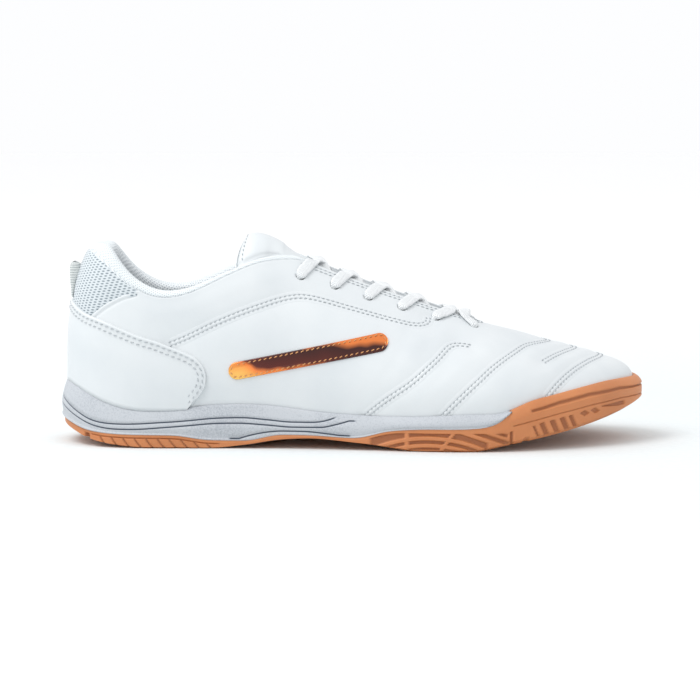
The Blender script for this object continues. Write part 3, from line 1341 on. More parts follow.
@dataclass
class HeelCounter:
    """The overlay round the heel, with a folded edge and a double row of stitches inside it.

    Attributes:
        seat: how far the leather below it stands off the skin.
        foot: station of its front corner at the sole's rim.
        stitch_rows: how far the two rows of stitches lie inside its edge.
        pitch: length of its stitches.
    """

    thickness: float = 0.0012
    columns: int = 420
    rows: int = 30
    seat: float = 0.00045
    foot: float = 0.2225
    stitch_rows: tuple[float, float] = (0.0018, 0.0040)
    pitch: float = 0.0030

    def edge(self) -> tuple[Array, Array]:
        """Its edge from the sole's rim on the inner side, over the heel, to the rim on the outer side.

        Returns:
            Ring angles and shares of its points.
        """
        angle, share = seam_line(COUNTER_EDGE, Side.OUTER, soft=3.0)
        angle = np.concatenate([-angle[:0:-1], angle])
        share = np.concatenate([share[:0:-1], share])
        bell = np.exp(-0.5 * (np.arange(-9, 10) / 3.0) ** 2)
        middle = np.convolve(np.pad(share, 9, mode="edge"), bell / bell.sum(), "valid")
        step, run = np.arange(len(angle)), np.linspace(0, len(angle) - 1, self.columns)
        return np.interp(run, step, angle), np.interp(run, step, middle)

    def build(self, finishes: Finishes, stitches: StitchRows) -> None:
        """The panel between its edge and the sole's rim, each column straight from one to the other.

        Args:
            finishes: the shoe's finishes.
            stitches: rows that take its stitches.
        """
        angle, share = self.edge()
        spread = angle * (1 - 0.06 * np.abs(angle / angle[-1]) ** 3)
        foot_share = LAST.share_at_height(spread, LAST.height("rim", spread)) * 0.9
        foot_angle = np.clip(spread, -angle_at(self.foot), angle_at(self.foot))
        mix = 1 - (1 - np.linspace(0, 1, self.rows)) ** 1.6
        turn = foot_angle[:, None] * (1 - mix) + angle[:, None] * mix
        up = foot_share[:, None] * (1 - mix) + share[:, None] * mix
        points = LAST.rib(turn, up)
        away = np.linalg.norm(points - points[:, -1:], axis=2)
        sill = LAST.skin(angle, share)
        rounding = np.sqrt(np.clip(1 - np.clip(1 - away / 0.0007, 0, 1) ** 2, 0, 1))
        fold = (0.00030 * np.exp(-((away - 0.0010) / 0.0009) ** 2)
                - 0.00015 * np.exp(-((away - 0.0020) / 0.0005) ** 2))
        puff = 0.0004 * smooth_step(0.004, 0.016, away)
        lift = self.seat + (self.thickness + fold + puff) * (0.12 + 0.88 * rounding)
        top = LAST.skin(turn, up, lift)
        bottom = LAST.skin(turn, up, self.seat - self.thickness)
        panel = plate_mesh("heel_counter_leather", top, bottom, [finishes.leather])
        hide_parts("heel_counter")
        across = across_seam(angle, share)
        inwards = across * np.sign((across * (points[:, -6] - sill)).sum(-1))[:, None]
        for offset in self.stitch_rows:
            a, s = LAST.moved(angle, share, inwards * offset)
            stitches.lay(LAST.skin(a, s, self.seat + self.thickness + 0.0003), LAST.normal(a, s), self.pitch)


@dataclass
class Collar:
    """The padded mesh collar: a panel of open mesh at the heel and a soft roll that turns into the lining.

    Attributes:
        foot: share of the leather's height where the padding starts.
        foam: thickness of the padding at the heel.
        roll: height of the roll where its table says 1.
        lip: how far the leather's edge is covered.
        inner_gap: clearance inside the wall.
        front: station of its front end.
        strip_along: stations of the low strip that runs on to the front.
        strip_height: heights of the strip there.
        panel_end: station of the heel panel's ends.
    """

    foot: float = 0.70
    foam: float = 0.0085
    roll: float = 0.0040
    lip: float = 0.0010
    inner_gap: float = 0.0005
    front: float = 0.47
    strip_along: tuple = (0.24, 0.33, 0.38, 0.425, 0.445, 0.47)
    strip_height: tuple = (0.0021, 0.0026, 0.0033, 0.0031, 0.0012, 0.0003)
    panel_end: float = 0.150

    def build(self, finishes: Finishes, upper: Upper) -> None:
        """The roll, then the heel panel.

        The roll's section climbs from the seam as the sine of a half turn while it crosses inwards as one less
        the cosine, then follows the inside of the skin down to its foot.

        Args:
            finishes: the shoe's finishes.
            upper: the leather round it.
        """
        angle = np.linspace(-angle_at(self.front), angle_at(self.front), 420)
        along = along_at(angle)
        seam = upper.top_share(angle)
        front = np.clip((along - 0.24) / 0.12, 0, 1)
        foam = self.foam * (1 - 0.70 * front) * (1 - 0.25 * np.clip(along / 0.12, 0, 1))
        thin = smooth_step(0.33, 0.42, along)
        foam = foam * (1 - thin) + 0.0004 * thin
        strip = np.interp(along, self.strip_along, self.strip_height)
        height = np.maximum(self.roll * LAST.read("roll", angle), strip)
        one = np.ones_like(angle)
        edge, out = LAST.rib(angle, one), LAST.normal(angle, one)
        rise = unit(edge - LAST.rib(angle, 0.98 * one))
        hide = -(LAST.wall + self.inner_gap)
        rows, tone = [], []
        for bend in np.linspace(0.03, 1, 18) * math.pi:
            inwards = 0.5 * (1 - math.cos(bend)) ** 1.05
            climb = math.sin(bend) ** 0.85 if bend < math.pi - 1e-6 else 0.0
            level = climb * height + (1 - climb) * self.lip * (1 if bend > 1.57 else math.sin(bend))
            depth = inwards * (foam + LAST.wall) - 0.0003 * math.sin(bend)
            rows.append(edge + rise * level[:, None] - out * depth[:, None])
            tone.append(0 if bend < 2.1 else 1)
        inner_top = rows[-1]
        for down in np.linspace(0.12, 1, 14):
            share = 1 - down * (1 - self.foot * seam)
            depth = foam * (1 - down ** 2.2) + 0.0012 * down ** 2.2
            target = LAST.skin(angle, share, hide - depth)
            mix = smooth_step(0.0, 0.35, np.array(down))
            rows.append((inner_top - UP * down * 0.02) * (1 - mix) + target * mix)
            tone.append(1)
        for climb in np.linspace(self.foot, 0.985, 6):
            rows.append(LAST.skin(angle, seam * climb, hide))
            tone.append(1)
        roll = grid_mesh("collar_roll", np.stack(rows, axis=1), [finishes.roll, finishes.lining],
                         row_material=np.array(tone))
        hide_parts("collar")
        self.heel_panel(finishes, upper)

    def heel_panel(self, finishes: Finishes, upper: Upper) -> None:
        """Open mesh between the leather and the roll: a puffed plate, tucked in at both edges.

        Args:
            finishes: the shoe's finishes.
            upper: the leather below it.
        """
        end = float(angle_at(self.panel_end))
        angle = np.linspace(-end, end, 220)
        low = upper.top_share(angle)[:, None] - 0.045
        b = np.linspace(0, 1, 30)[None]
        share = low + (1.002 - low) * b
        turn = np.broadcast_to(angle[:, None], share.shape)
        room = np.clip((1 - upper.top_share(angle))[:, None] / 0.20, 0, 1)
        lift = -0.0013 + 0.0016 * smooth_step(0.04, 0.16, b) - 0.0009 * smooth_step(0.90, 1.0, b)
        lift = lift + 0.0011 * room * np.sin(math.pi * b) - 0.0012 * (1 - smooth_step(0.0, 0.05, room))
        top = LAST.skin(turn, share, lift)
        run = run_along(top[:, 20])
        away = np.broadcast_to(np.abs(run - run[-1] / 2)[:, None], share.shape)
        panel = plate_mesh("collar_heel_mesh", top, LAST.skin(turn, share, -0.0022), [finishes.heel_mesh],
                           uv=np.stack([away, top[..., 2]], axis=-1) / MM)


@dataclass
class Tongue:
    """The padded tongue: held under both facings, free and curved above the top lace.

    Attributes:
        crown: how far its middle stands up between the facings.
        rise: how much more it does at the top holes.
        gap: clearance under the wall.
        hem: where the stitches cross it, as a share of its length.
    """

    thickness: float = 0.0045
    crown: float = 0.0007
    rise: float = 0.0056
    gap: float = 0.0005
    hem: float = 0.960

    def build(self, finishes: Finishes) -> None:
        """A crowned plate between smooth curves through its stations, thin at its rim and full inside it.

        Args:
            finishes: the shoe's finishes.
        """
        under = -(LAST.wall + self.gap)
        outer = np.radians([140.0, *np.arange(130, 79, -5.0)])
        inner = TURN - outer
        one = np.ones_like(outer)
        wing = np.interp(np.degrees(outer), (115, 140), (1.0, 0.35))
        far, near = 1 - 0.2 * wing, 1 - 0.1 * wing
        outer_edge, inner_edge = LAST.skin(outer, one, under), LAST.skin(inner, one, under)
        rows = [LAST.skin(outer, far, under), LAST.skin(outer, near, under), outer_edge]
        crown = np.full(len(outer), self.crown)
        crown[-2:] += (0.15 * self.rise, self.rise)
        for b in (-0.5, 0.0, 0.5):
            row = outer_edge * (1 - b) / 2 + inner_edge * (1 + b) / 2
            rows.append(row + UP * (crown * (1 - b * b))[:, None])
        rows += [inner_edge, LAST.skin(inner, near, under), LAST.skin(inner, far, under)]
        held = np.stack(rows, axis=1)
        corner = 0.5 * (outer_edge[-1] + inner_edge[-1])
        spread = np.array([-1, -0.78, -0.52, -0.26, 0, 0.26, 0.52, 0.78, 1])
        back, up, half, droop, sweep = (np.asarray(values)[:, None] for values in TONGUE_END.values())
        free = np.stack([corner[0] - LAST.length * (back + sweep * spread ** 2 * (2.2 - 1.4 * spread ** 2)),
                         corner[1] + LAST.ball_width * half * spread,
                         corner[2] + LAST.instep_height * (up - droop * spread ** 2)], axis=-1)
        root = LAST.skin(np.radians([152, 158, 165, 172, 180, 188, 195, 202, 208]), np.full(9, 0.92), under)
        knots = np.concatenate([root[None], held, free])
        top = spline(spline(knots, 120).transpose(1, 0, 2), 72).transpose(1, 0, 2)
        down = unit(np.cross(np.gradient(top, axis=1), np.gradient(top, axis=0)))
        down = np.where(down[..., 2:].mean() > 0, -down, down)
        across, along = np.linspace(-1, 1, 72)[None], np.linspace(0, 1, 120)[:, None]
        rim = (np.sqrt(np.clip(1 - np.abs(across) ** 5, 0.02, 1))
               * np.sqrt(np.clip(1 - np.clip(along * 20 - 19, 0, 1) ** 2, 0.03, 1)))
        deep = self.thickness * (0.55 + 0.85 * along ** 3) * rim
        end = smooth_step(0.58, 0.68, along)
        side = np.abs(across)
        seam = np.maximum(np.exp(-((side - 0.86) / 0.03) ** 2), np.exp(-((along - self.hem) / 0.010) ** 2))
        pull = end * 0.00035 * seam * (side < 0.9) * (along < 0.98)
        high = top + down * (pull + self.thickness * 0.5 * (1 - rim) * end)[..., None]
        low = top + down * np.maximum(deep, pull + 0.0004)[..., None]
        which = np.repeat([0, 1], 72)
        which[[0, 70]] = 1
        body = grid_mesh("tongue_pad", np.concatenate([high, low[:, ::-1]], axis=1),
                         [finishes.leather, finishes.roll], row_material=which)
        rows = StitchRows()
        at = round(119 * self.hem)
        line, out = high[at, 6:66], -down[at, 6:66]
        rows.lay(line + out * 0.0002, out, 0.0026)
        rows.build("tongue_stitches", finishes.thread)
        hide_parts("tongue")


@dataclass
class Laces:
    """The flat lace: up through each hole, over its facing and the throat, and down under the other facing.

    Attributes:
        clearance: gap between the lace and the leather.
        sides: corners of its section.
    """

    width: float = 0.0060
    thickness: float = 0.0015
    clearance: float = 0.0003
    sides: int = 16

    def band(self, name: str, path: Array, normals: Array, width: Array, deep: Array,
             finish: Material) -> Object:
        """A band whose section is a flat oval, a power of the cosine by a power of the sine, along a path.

        Args:
            name: name of the piece.
            path: its middle line.
            normals: directions out of its flat side.
            width: its width at each point.
            deep: its thickness at each point.
            finish: its finish.

        Returns:
            The object.
        """
        run = unit(np.gradient(path, axis=0))
        side = unit(np.cross(run, normals))
        flat = unit(np.cross(side, run))
        turn = np.arange(self.sides) * TURN / self.sides
        c, s = np.cos(turn), np.sin(turn)
        a = np.sign(c) * np.abs(c) ** 0.75
        b = np.sign(s) * np.abs(s) ** 0.85
        grid = (path[:, None] + side[:, None] * (a[None] * width[:, None] / 2)[..., None]
                + flat[:, None] * (b[None] * deep[:, None] / 2)[..., None])
        v = np.concatenate([a, a[:1]])[None] * width[:, None] / 2
        uv = np.stack([np.broadcast_to(run_along(path)[:, None], v.shape), v], axis=-1) / MM
        return grid_mesh(name, grid, [finish], uv=uv)

    def build(self, finishes: Finishes, upper: Upper) -> None:
        """Ten crossing strands and the straight bar at the front.

        Args:
            finishes: the shoe's finishes.
            upper: gives the lace holes.
        """
        for number in range(upper.pairs - 1):
            for side in Side:
                strand = self.strand(number, side, upper, finishes)
                if side is Side.OUTER:
                    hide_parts(f"lace_cross_{number + 1}")
        bar = self.front_bar(upper, finishes)
        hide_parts("lace_bar")

    def leave(self, start: float, aim: float, hole: float, lift: float) -> tuple[Array, Array]:
        """Points and outward directions of the lace from inside a hole to the edge of its facing.

        Args:
            start: ring angle of the hole.
            aim: ring angle that it heads for.
            hole: share of the rib where the hole is.
            lift: height of its middle above the leather.

        Returns:
            Points and directions.
        """
        rest = 1 - hole
        share = np.array([hole - 0.012, hole - 0.006, hole, hole + 0.25 * rest, hole + 0.55 * rest, 0.999])
        lifts = np.array([-0.0050, -0.0022, lift * 0.7, lift * 1.15, lift, lift])
        turns = start + np.array([-0.01, -0.004, 0.0, 0.07, 0.19, 0.37]) * (aim - start)
        return LAST.skin(turns, share, lifts), LAST.normal(turns, share)

    def strand(self, number: int, side: Side, upper: Upper, finishes: Finishes) -> Object:
        """One strand from its hole to the next hole on the other side.

        Args:
            number: number of its hole.
            side: side of its hole.
            upper: gives the lace holes.
            finishes: the shoe's finishes.

        Returns:
            The object.
        """
        other = Side.INNER if side is Side.OUTER else Side.OUTER
        start = upper.hole_angle(number, side)
        end = upper.hole_angle(number + 1, other)
        aim = upper.hole_angle(number + 1, side)
        lift = self.clearance + self.thickness / 2
        leave, normals = self.leave(start, aim, upper.share_below(start, upper.hole_inset), lift)
        over = 0.0 if side is Side.OUTER else self.thickness * 0.62
        rise = 0.0011 + over + (0.0008 if number == 0 else 0.0)
        far = upper.hole_angle(number, other)
        tuck = 0.9 if number < upper.pairs - 2 else 0.62
        at = far + tuck * (end - far)
        land = LAST.skin(np.array([at]), np.array([1.0]), -LAST.wall - 0.0006)[0]
        first = leave[-1]
        b = np.array([0.2, 0.4, 0.6, 0.8, 0.93, 1.0])
        across = (first * (1 - b[:, None]) + land * b[:, None]
                  + UP * (rise * 4 * b * (1 - b) * (1.2 - 0.4 * b))[:, None])
        hide = LAST.skin(at + np.array([0.35, 1.0]) * (end - at),
                         np.array([0.96, upper.share_below(end, upper.hole_inset)]),
                         -LAST.wall - np.array([0.0012, 0.0022]))
        knots = np.vstack([leave, across, hide])
        landing = LAST.normal(np.full(4, at), np.array([1.0, 1.0, 0.97, 0.94]))
        outs = np.vstack([normals, np.tile(UP, (4, 1)), landing])
        path, out = spline(knots, 96), unit(spline(outs, 96))
        spot, stops = np.linspace(0, len(knots) - 1, 96), [0, 1.5, 2.4, 3.5, len(knots) - 1]
        wide = self.width * np.interp(spot, stops, [0.52, 0.60, 0.90, 1.0, 1.0])
        deep = self.thickness * np.interp(spot, stops, [1.2, 1.2, 1.05, 1.0, 0.95])
        return self.band(f"lace_{number + 1}_{side.name.lower()}", path, out, wide, deep, finishes.lace)

    def front_bar(self, upper: Upper, finishes: Finishes) -> Object:
        """The straight bar between the two front holes.

        Args:
            upper: gives the lace holes.
            finishes: the shoe's finishes.

        Returns:
            The object.
        """
        number = upper.pairs - 1
        lift = self.clearance + self.thickness / 2
        parts, normals = [], []
        for side in Side:
            angle = upper.hole_angle(number, side)
            hole = upper.share_below(angle, upper.hole_inset)
            points, out = self.leave(angle, angle, hole, lift)
            parts.append(points if side is Side.OUTER else points[::-1])
            normals.append(out if side is Side.OUTER else out[::-1])
        middle = 0.5 * (parts[0][-1] + parts[1][0]) + UP * 0.0020
        knots = np.vstack([parts[0], middle[None], parts[1]])
        outs = np.vstack([normals[0], UP[None], normals[1]])
        path, out = spline(knots, 80), unit(spline(outs, 80))
        ends = np.abs(np.linspace(-1, 1, 80))
        wide = self.width * np.interp(ends, [0, 0.5, 0.72, 1], [1.0, 0.95, 0.62, 0.55])
        deep = self.thickness * np.interp(ends, [0, 0.5, 0.72, 1], [1.0, 1.05, 1.5, 1.5])
        return self.band("lace_front_bar", path, out, wide, deep, finishes.lace)


@dataclass
class PullTab:
    """The woven tape folded at the heel back."""

    width: float = 0.0120
    height: float = 0.0172

    def build(self, finishes: Finishes) -> None:
        """Two faces through their stations, joined by rounded sides, closed at the top fold.

        Args:
            finishes: the shoe's finishes.
        """
        rise = np.linspace(0, 1, 40)
        knots = np.asarray(TAB["rise"])
        back, front = (hermite(knots, np.asarray(TAB[k], float), rise) for k in ("back", "front"))
        foot = LAST.heel_height * 0.735 + 2 * LAST.gap
        z = foot + self.height * rise
        heel = LAST.rib(np.zeros_like(z), LAST.share_at_height(np.zeros_like(z), z))[:, 0]
        half = self.width / 2 * np.sqrt(np.clip(1 - np.clip(rise * 12 - 11, 0, 1) ** 2 * 0.5, 0.3, 1))
        turn = np.linspace(0, TURN, 28, endpoint=False)
        c, s = np.cos(turn), np.sin(turn)
        a, b = np.sign(c) * np.abs(c) ** 0.35, np.sign(s) * np.abs(s) ** 0.6
        middle, deep = heel - self.height * (back + front) / 2, self.height * (back - front) / 2
        grid = np.stack([middle[:, None] + deep[:, None] * b, half[:, None] * a,
                         np.broadcast_to(z[:, None], (40, 28))], axis=-1)
        tab = grid_mesh("pull_tab_tape", grid, [finishes.tape])
        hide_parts("pull_tab")


@dataclass
class SideBar:
    """The plain sewn bar of foil on the outer side.

    Attributes:
        station: share of the length where its middle stands.
        height: height of its middle.
        stitch_inset: how far its stitches lie inside its outline.
    """

    length: float = 0.078
    width: float = 0.0085
    thickness: float = 0.0009
    slope: float = math.radians(11)
    station: float = 0.425
    height: float = 0.0441
    stitch_inset: float = 0.0012

    def place(self, run: Array, across: Array, lift: float) -> tuple[Array, Array]:
        """Points and outward directions on the outer skin at distances along and across the bar.

        The bar is laid out flat as seen from the side, and each point is moved on to the skin by nearing its x.

        Args:
            run: distances along the bar.
            across: distances across it.
            lift: distance out of the skin.

        Returns:
            Points and directions.
        """
        cosine, sine = math.cos(self.slope), math.sin(self.slope)
        x = LAST.length * (self.station - 0.5) + run * cosine - across * sine
        z = self.height + run * sine + across * cosine
        angle = angle_at(np.clip(x / LAST.length + 0.5, 0.02, 0.98))
        for _ in range(8):
            share = LAST.share_at_height(angle, z)
            angle = angle + (x - LAST.rib(angle, share)[..., 0]) / (0.5 * LAST.length * np.sin(angle))
        share = LAST.share_at_height(angle, z)
        return LAST.skin(angle, share, lift), LAST.normal(angle, share)

    def build(self, finishes: Finishes) -> None:
        """A bar with round ends and soft edges, and a row of stitches just inside its outline.

        Args:
            finishes: the shoe's finishes.
        """
        run = np.sin(np.linspace(-0.5, 0.5, 90) * math.pi) * self.length / 2
        b = np.sin(np.linspace(-0.5, 0.5, 19) * math.pi)
        past = np.maximum(np.abs(run) - self.length / 2 + self.width / 2, 0) / (self.width / 2)
        half = self.width / 2 * np.sqrt(np.clip(1 - past ** 2, 0.0, 1))
        across = half[:, None] * b[None]
        flat = np.broadcast_to(run[:, None], across.shape)
        inside = np.minimum((half[:, None] - np.abs(across)), 0.002)
        soft = np.sqrt(np.clip(1 - np.clip(1 - inside / 0.0006, 0, 1) ** 2, 0, 1))
        points, out = self.place(flat, across, 0.0)
        sink = 0.00025 * np.exp(-((inside - self.stitch_inset) / 0.0004) ** 2)
        top = points + out * (0.0006 + self.thickness * soft - sink)[..., None]
        uv = np.stack([flat + self.length / 2, across], axis=-1) / MM
        bar = plate_mesh("side_bar_foil", top, points + out * 0.0001, [finishes.foil], uv=uv)
        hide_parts("side_bar")
        rows = StitchRows(thread=0.0005)
        corner = self.width / 2 - self.stitch_inset
        straight = self.length / 2 - self.width / 2
        flank = np.stack([np.linspace(-straight, straight, 200), np.full(200, corner)], axis=-1)
        turn = np.linspace(0, math.pi, 40)
        bend = np.stack([straight + corner * np.sin(turn), corner * np.cos(turn)], axis=-1)
        outline = np.concatenate([flank, bend, -flank, -bend])
        line, out = self.place(outline[:, 0], outline[:, 1], 0.0015)
        rows.lay(line, out, 0.0026)
        rows.build("side_bar_stitches", finishes.copper_thread)


@dataclass
class Midsole:
    """The foam wedge with its three painted grooves.

    Attributes:
        front: station of its front end.
        groove: depth of the grooves.
        half_line: half their width.
    """

    front: float = 0.7635
    columns: int = 620
    groove: float = 0.00055
    half_line: float = 0.00045

    def side(self, angle: Array, share: Array) -> Array:
        """Points of the foam's side at shares of its height.

        The lower part stands on the outline; the upper part leans in a slight belly to the rim on the skin.

        Args:
            angle: ring angles.
            share: shares of the side's height, one row for each angle.

        Returns:
            The points.
        """
        border, rim = LAST.height("border", angle), LAST.height("rim", angle)
        border = np.minimum(border, rim - 0.0001)
        rim_share = LAST.share_at_height(angle, rim)
        tuck = 0.0010 * smooth_step(0.754, 0.7635, along_at(angle))
        edge = LAST.skin(angle, rim_share, LAST.gap + LAST.rim - tuck)[:, None]
        low_share = np.minimum(share, 0.42)
        inset = (0.0006 * (1 - smooth_step(0, 0.3, share)) - 0.0006 * np.exp(-((share - 0.03) / 0.03) ** 2)
                 + 0.0001 * smooth_step(0.3, 0.42, share))
        low = LAST.side_point(angle[:, None], inset, border[:, None] + low_share * (rim - border)[:, None])
        t = np.clip((share - 0.42) / 0.58, 0, 1)[..., None]
        low = low - LAST.outward(angle)[:, None] * tuck[:, None, None]
        return low * (1 - t) + edge * t + LAST.outward(angle)[:, None] * 0.0006 * 2.2 * t * (1 - t)

    def build(self, finishes: Finishes) -> None:
        """A band round the sole whose rows follow the grooves, closed by the rim, the inner wall and the seat.

        Args:
            finishes: the shoe's finishes.
        """
        last = float(angle_at(self.front))
        angle = np.linspace(-last, last, self.columns)
        along = along_at(angle)
        border, rim = LAST.height("border", angle), LAST.height("rim", angle)
        tall = np.maximum(rim - border, 0.0001)
        border = rim - tall
        lines = {}
        for name, knots in FOAM_LINES.items():
            table = np.array(knots)
            z = LAST.sole_height * hermite(table[:, 0], table[:, 1], np.clip(along, table[0, 0], table[-1, 0]))
            over = (along - table[-1, 0]) * LAST.length
            before = (table[0, 0] - along) * LAST.length
            fade = (1 - smooth_step(-0.0015, 0.0010, over)) * (1 - smooth_step(-0.0015, 0.0010, before))
            lines[name] = [np.clip((z - border) / tall, 0.03, 0.97), fade]
        shares, depths = [np.zeros_like(angle)], [np.zeros_like(angle)]
        half = self.half_line / tall
        upper, lower, arch = (lines[k][0] for k in ("upper", "lower", "arch"))
        upper = np.minimum(upper, 0.90)
        lower = np.minimum(lower, upper - 3.2 * half)
        arch = np.clip(arch, 2.2 * half, lower - 3.2 * half)
        previous = 0.0 * angle
        for place, fade in ((arch, lines["arch"][1]), (lower, lines["lower"][1]), (upper, lines["upper"][1])):
            for mix in (0.33, 0.67):
                shares.append(previous + (place - half - previous) * mix)
                depths.append(0 * angle)
            for step, deep in ((-1.0, 0.0), (-0.45, 1.0), (0.0, 1.0), (0.45, 1.0), (1.0, 0.0)):
                shares.append(place + step * half)
                depths.append(deep * fade)
            previous = place + half
        for mix in np.linspace(0.2, 1.0, 7):
            shares.append(previous + (1 - previous) * mix)
            depths.append(0 * angle)
        depth = np.stack(depths, axis=1)
        outer = self.side(angle, np.stack(shares, axis=1))
        outer = outer - LAST.outward(angle)[:, None] * (depth * self.groove)[..., None]
        rim_share = LAST.share_at_height(angle, rim)
        rows = []
        for lift in (0.0009, 0.0005, 0.0001):
            soft = 0.00035 * math.sin(math.pi * lift / (LAST.gap + LAST.rim))
            rows.append(LAST.skin(angle, rim_share, lift) + UP * soft)
        rows += [LAST.skin(angle, rim_share * s, 0.0001) for s in (0.8, 0.5, 0.2)]
        deep = LAST.ledge + 0.004
        rows += [LAST.side_point(angle, deep, LAST.height("bed", angle)), LAST.side_point(angle, deep, border),
                 LAST.side_point(angle, 0.0030, border)]
        grid = np.concatenate([outer, np.stack(rows, axis=1)], axis=1)
        mark = np.concatenate([depth, np.zeros((self.columns, len(rows)))], axis=1)
        foam = grid_mesh("foam_wedge", grid, [finishes.foam], marks={"groove": mark})
        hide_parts("midsole")


@dataclass
class Outsole:
    """The gum rubber sole: a ribbed side that turns up over the toe, and a tread with lugs.

    Attributes:
        front: station where its side starts to climb the upper.
        groove: depth of the side's grooves.
        toe_high: the upper line round the toe, as stations and shares of the sole's height at the heel.
        toe_low: the lower line.
        slots: places and half widths of the leaning slots.
        slot_top: the slots' upper ends, as the lines are.
        slot_foot: their lower ends.
        lug: depth of the tread.
        tread_rows: pitch of the zigzag grooves, their swing and the run of one swing.
        bars: pitch of the arch's ribs.
        rings: pitch of the pivots' rings.
    """

    front: float = 0.759
    columns: int = 1200
    rows: int = 70
    groove: float = 0.0010
    toe_high: tuple = ((0.7984, 0.601), (0.8447, 0.696), (0.8978, 0.785), (0.9538, 0.845), (1.0, 0.850))
    toe_low: tuple = ((0.7679, 0.396), (0.7902, 0.443), (0.8447, 0.557), (0.8978, 0.648), (0.9543, 0.705),
                      (1.0, 0.705))
    slots: tuple = ((0.0865, 0.0005), (0.0910, 0.0012), (0.0966, 0.0013), (0.1020, 0.0013), (0.1066, 0.0010))
    slot_top: tuple = ((0.8002, 0.386), (0.8161, 0.434), (0.8365, 0.468), (0.8551, 0.506), (0.8728, 0.532))
    slot_foot: tuple = ((0.8002, 0.203), (0.8161, 0.234), (0.8365, 0.263), (0.8559, 0.297), (0.8736, 0.348))
    lug: float = 0.0012
    tread_rows: tuple[float, float, float] = (0.0062, 0.0050, 0.011)
    bars: float = 0.0090
    rings: float = 0.0050

    def pattern(self, x: Array, z: Array, along: Array, share: Array, drop: Array) -> tuple[Array, Array]:
        """Depth and darkness of the side's grooves.

        Bent ribs at the heel are stripes of x less a square of the height. The forefoot's pockets lie between
        circles round one low centre and are split by two radial ribs, with fan stripes of z plus a third of x
        ahead of them. The toe has two long lines, leaning slots, two diamonds and a wedge.

        Args:
            x: place along the shoe.
            z: height.
            along: share of the length.
            share: share of the side's height.
            drop: distance below the side's top edge.

        Returns:
            Depth in metres, and darkness from 0 to 1.
        """
        soft = 0.0005
        down = 0.0048 - z
        stripe = np.mod(x + 0.1195 - 0.45 * down - 70 * down ** 2, 0.00557)
        below = band(drop, 0.0015, 1.0, soft)
        total = band(along, 0.066, 0.275, 0.004) * band(stripe, 0.0024, 0.0032, soft) * below * 0.85
        total = np.maximum(total, 0.7 * band(along, 0.058, 0.276, 0.004) * band(drop, 0.0013, 0.0018, soft))
        total = np.maximum(total, 2.0 * band(along, 0.046, 0.054, 0.003) * band(share, -1.0, 0.55, 0.35))
        r = np.hypot(x - 0.0359, z + 0.0581)
        lane = z + 0.338 * x
        open_ = band(drop, 0.0013, 1.0, soft) * band(share, 0.07, 2.0, 0.06) * band(z, -1.0, 0.0088, soft)
        pockets = band(r, 0.0593, 0.0603, soft) + band(r, 0.0622, 0.0637, soft)
        pockets = pockets + band(r, 0.0657, 1.0, soft) * band(lane, -1.0, 0.02608, soft)
        ribs = band(x, 0.0248, 0.0263, soft) + band(x - 0.72 * (z - 0.0076), 0.0458, 0.0477, soft)
        total = np.maximum(total, band(x, 0.0083, 0.0640, 0.001) * open_ * np.clip(pockets - 2 * ribs, 0, 1))
        fan = band(lane, 0.0282, 0.0300, soft) + band(lane, 0.03197, 0.0332, soft) * band(x, 0.0, 0.0735, soft)
        total = np.maximum(total, band(x, 0.0560, 0.0745, 0.001) * open_ * fan)
        total = np.maximum(total, 1.3 * band(x, 0.0751, 0.0762, soft) * band(z, 0.0020, 0.0098, soft))
        lines = [LAST.sole_height * np.interp(along, [k[0] for k in knots], [k[1] for k in knots])
                 for knots in (self.toe_high, self.toe_low, self.slot_top, self.slot_foot)]
        high, low, slot_top, slot_foot = (z - line for line in lines)
        total = np.maximum(total, band(along, 0.797, 2.0, 0.004) * band(high, -0.0004, 0.0004, 0.0004))
        total = np.maximum(total, 0.7 * band(along, 0.765, 2.0, 0.004) * band(low, -0.0002, 0.0002, 0.0004))
        leaning = x + 0.45 * (z - 0.012)
        for centre, wide in self.slots:
            slot = band(leaning, centre - wide, centre + wide, soft) * band(slot_top, -1.0, 0.0, soft)
            total = np.maximum(total, slot * band(slot_foot, 0.0, 1.0, soft))
        for centre in (0.1118, 0.1172):
            gem = 0.0014 - 0.6 * np.abs(x - centre) - np.abs(low + 0.0030 + 0.25 * (x - centre))
            total = np.maximum(total, 0.8 * band(gem, 0.0, 1.0, 0.0004))
        taper = np.clip((x - 0.1205) / 0.009, 0, 1)
        wedge = band(x, 0.1205, 0.1330, 0.001) * band(low, -0.0018 - 0.0016 * taper, -0.0016, 0.0004)
        total = np.maximum(total, 0.9 * wedge)
        cut = band(along, 0.784, 0.792, 0.003) * band(share, -1.0, 0.10, 0.10)
        return np.maximum(total, 2.2 * cut) * self.groove, np.clip(total, 0, 1) * 0.8

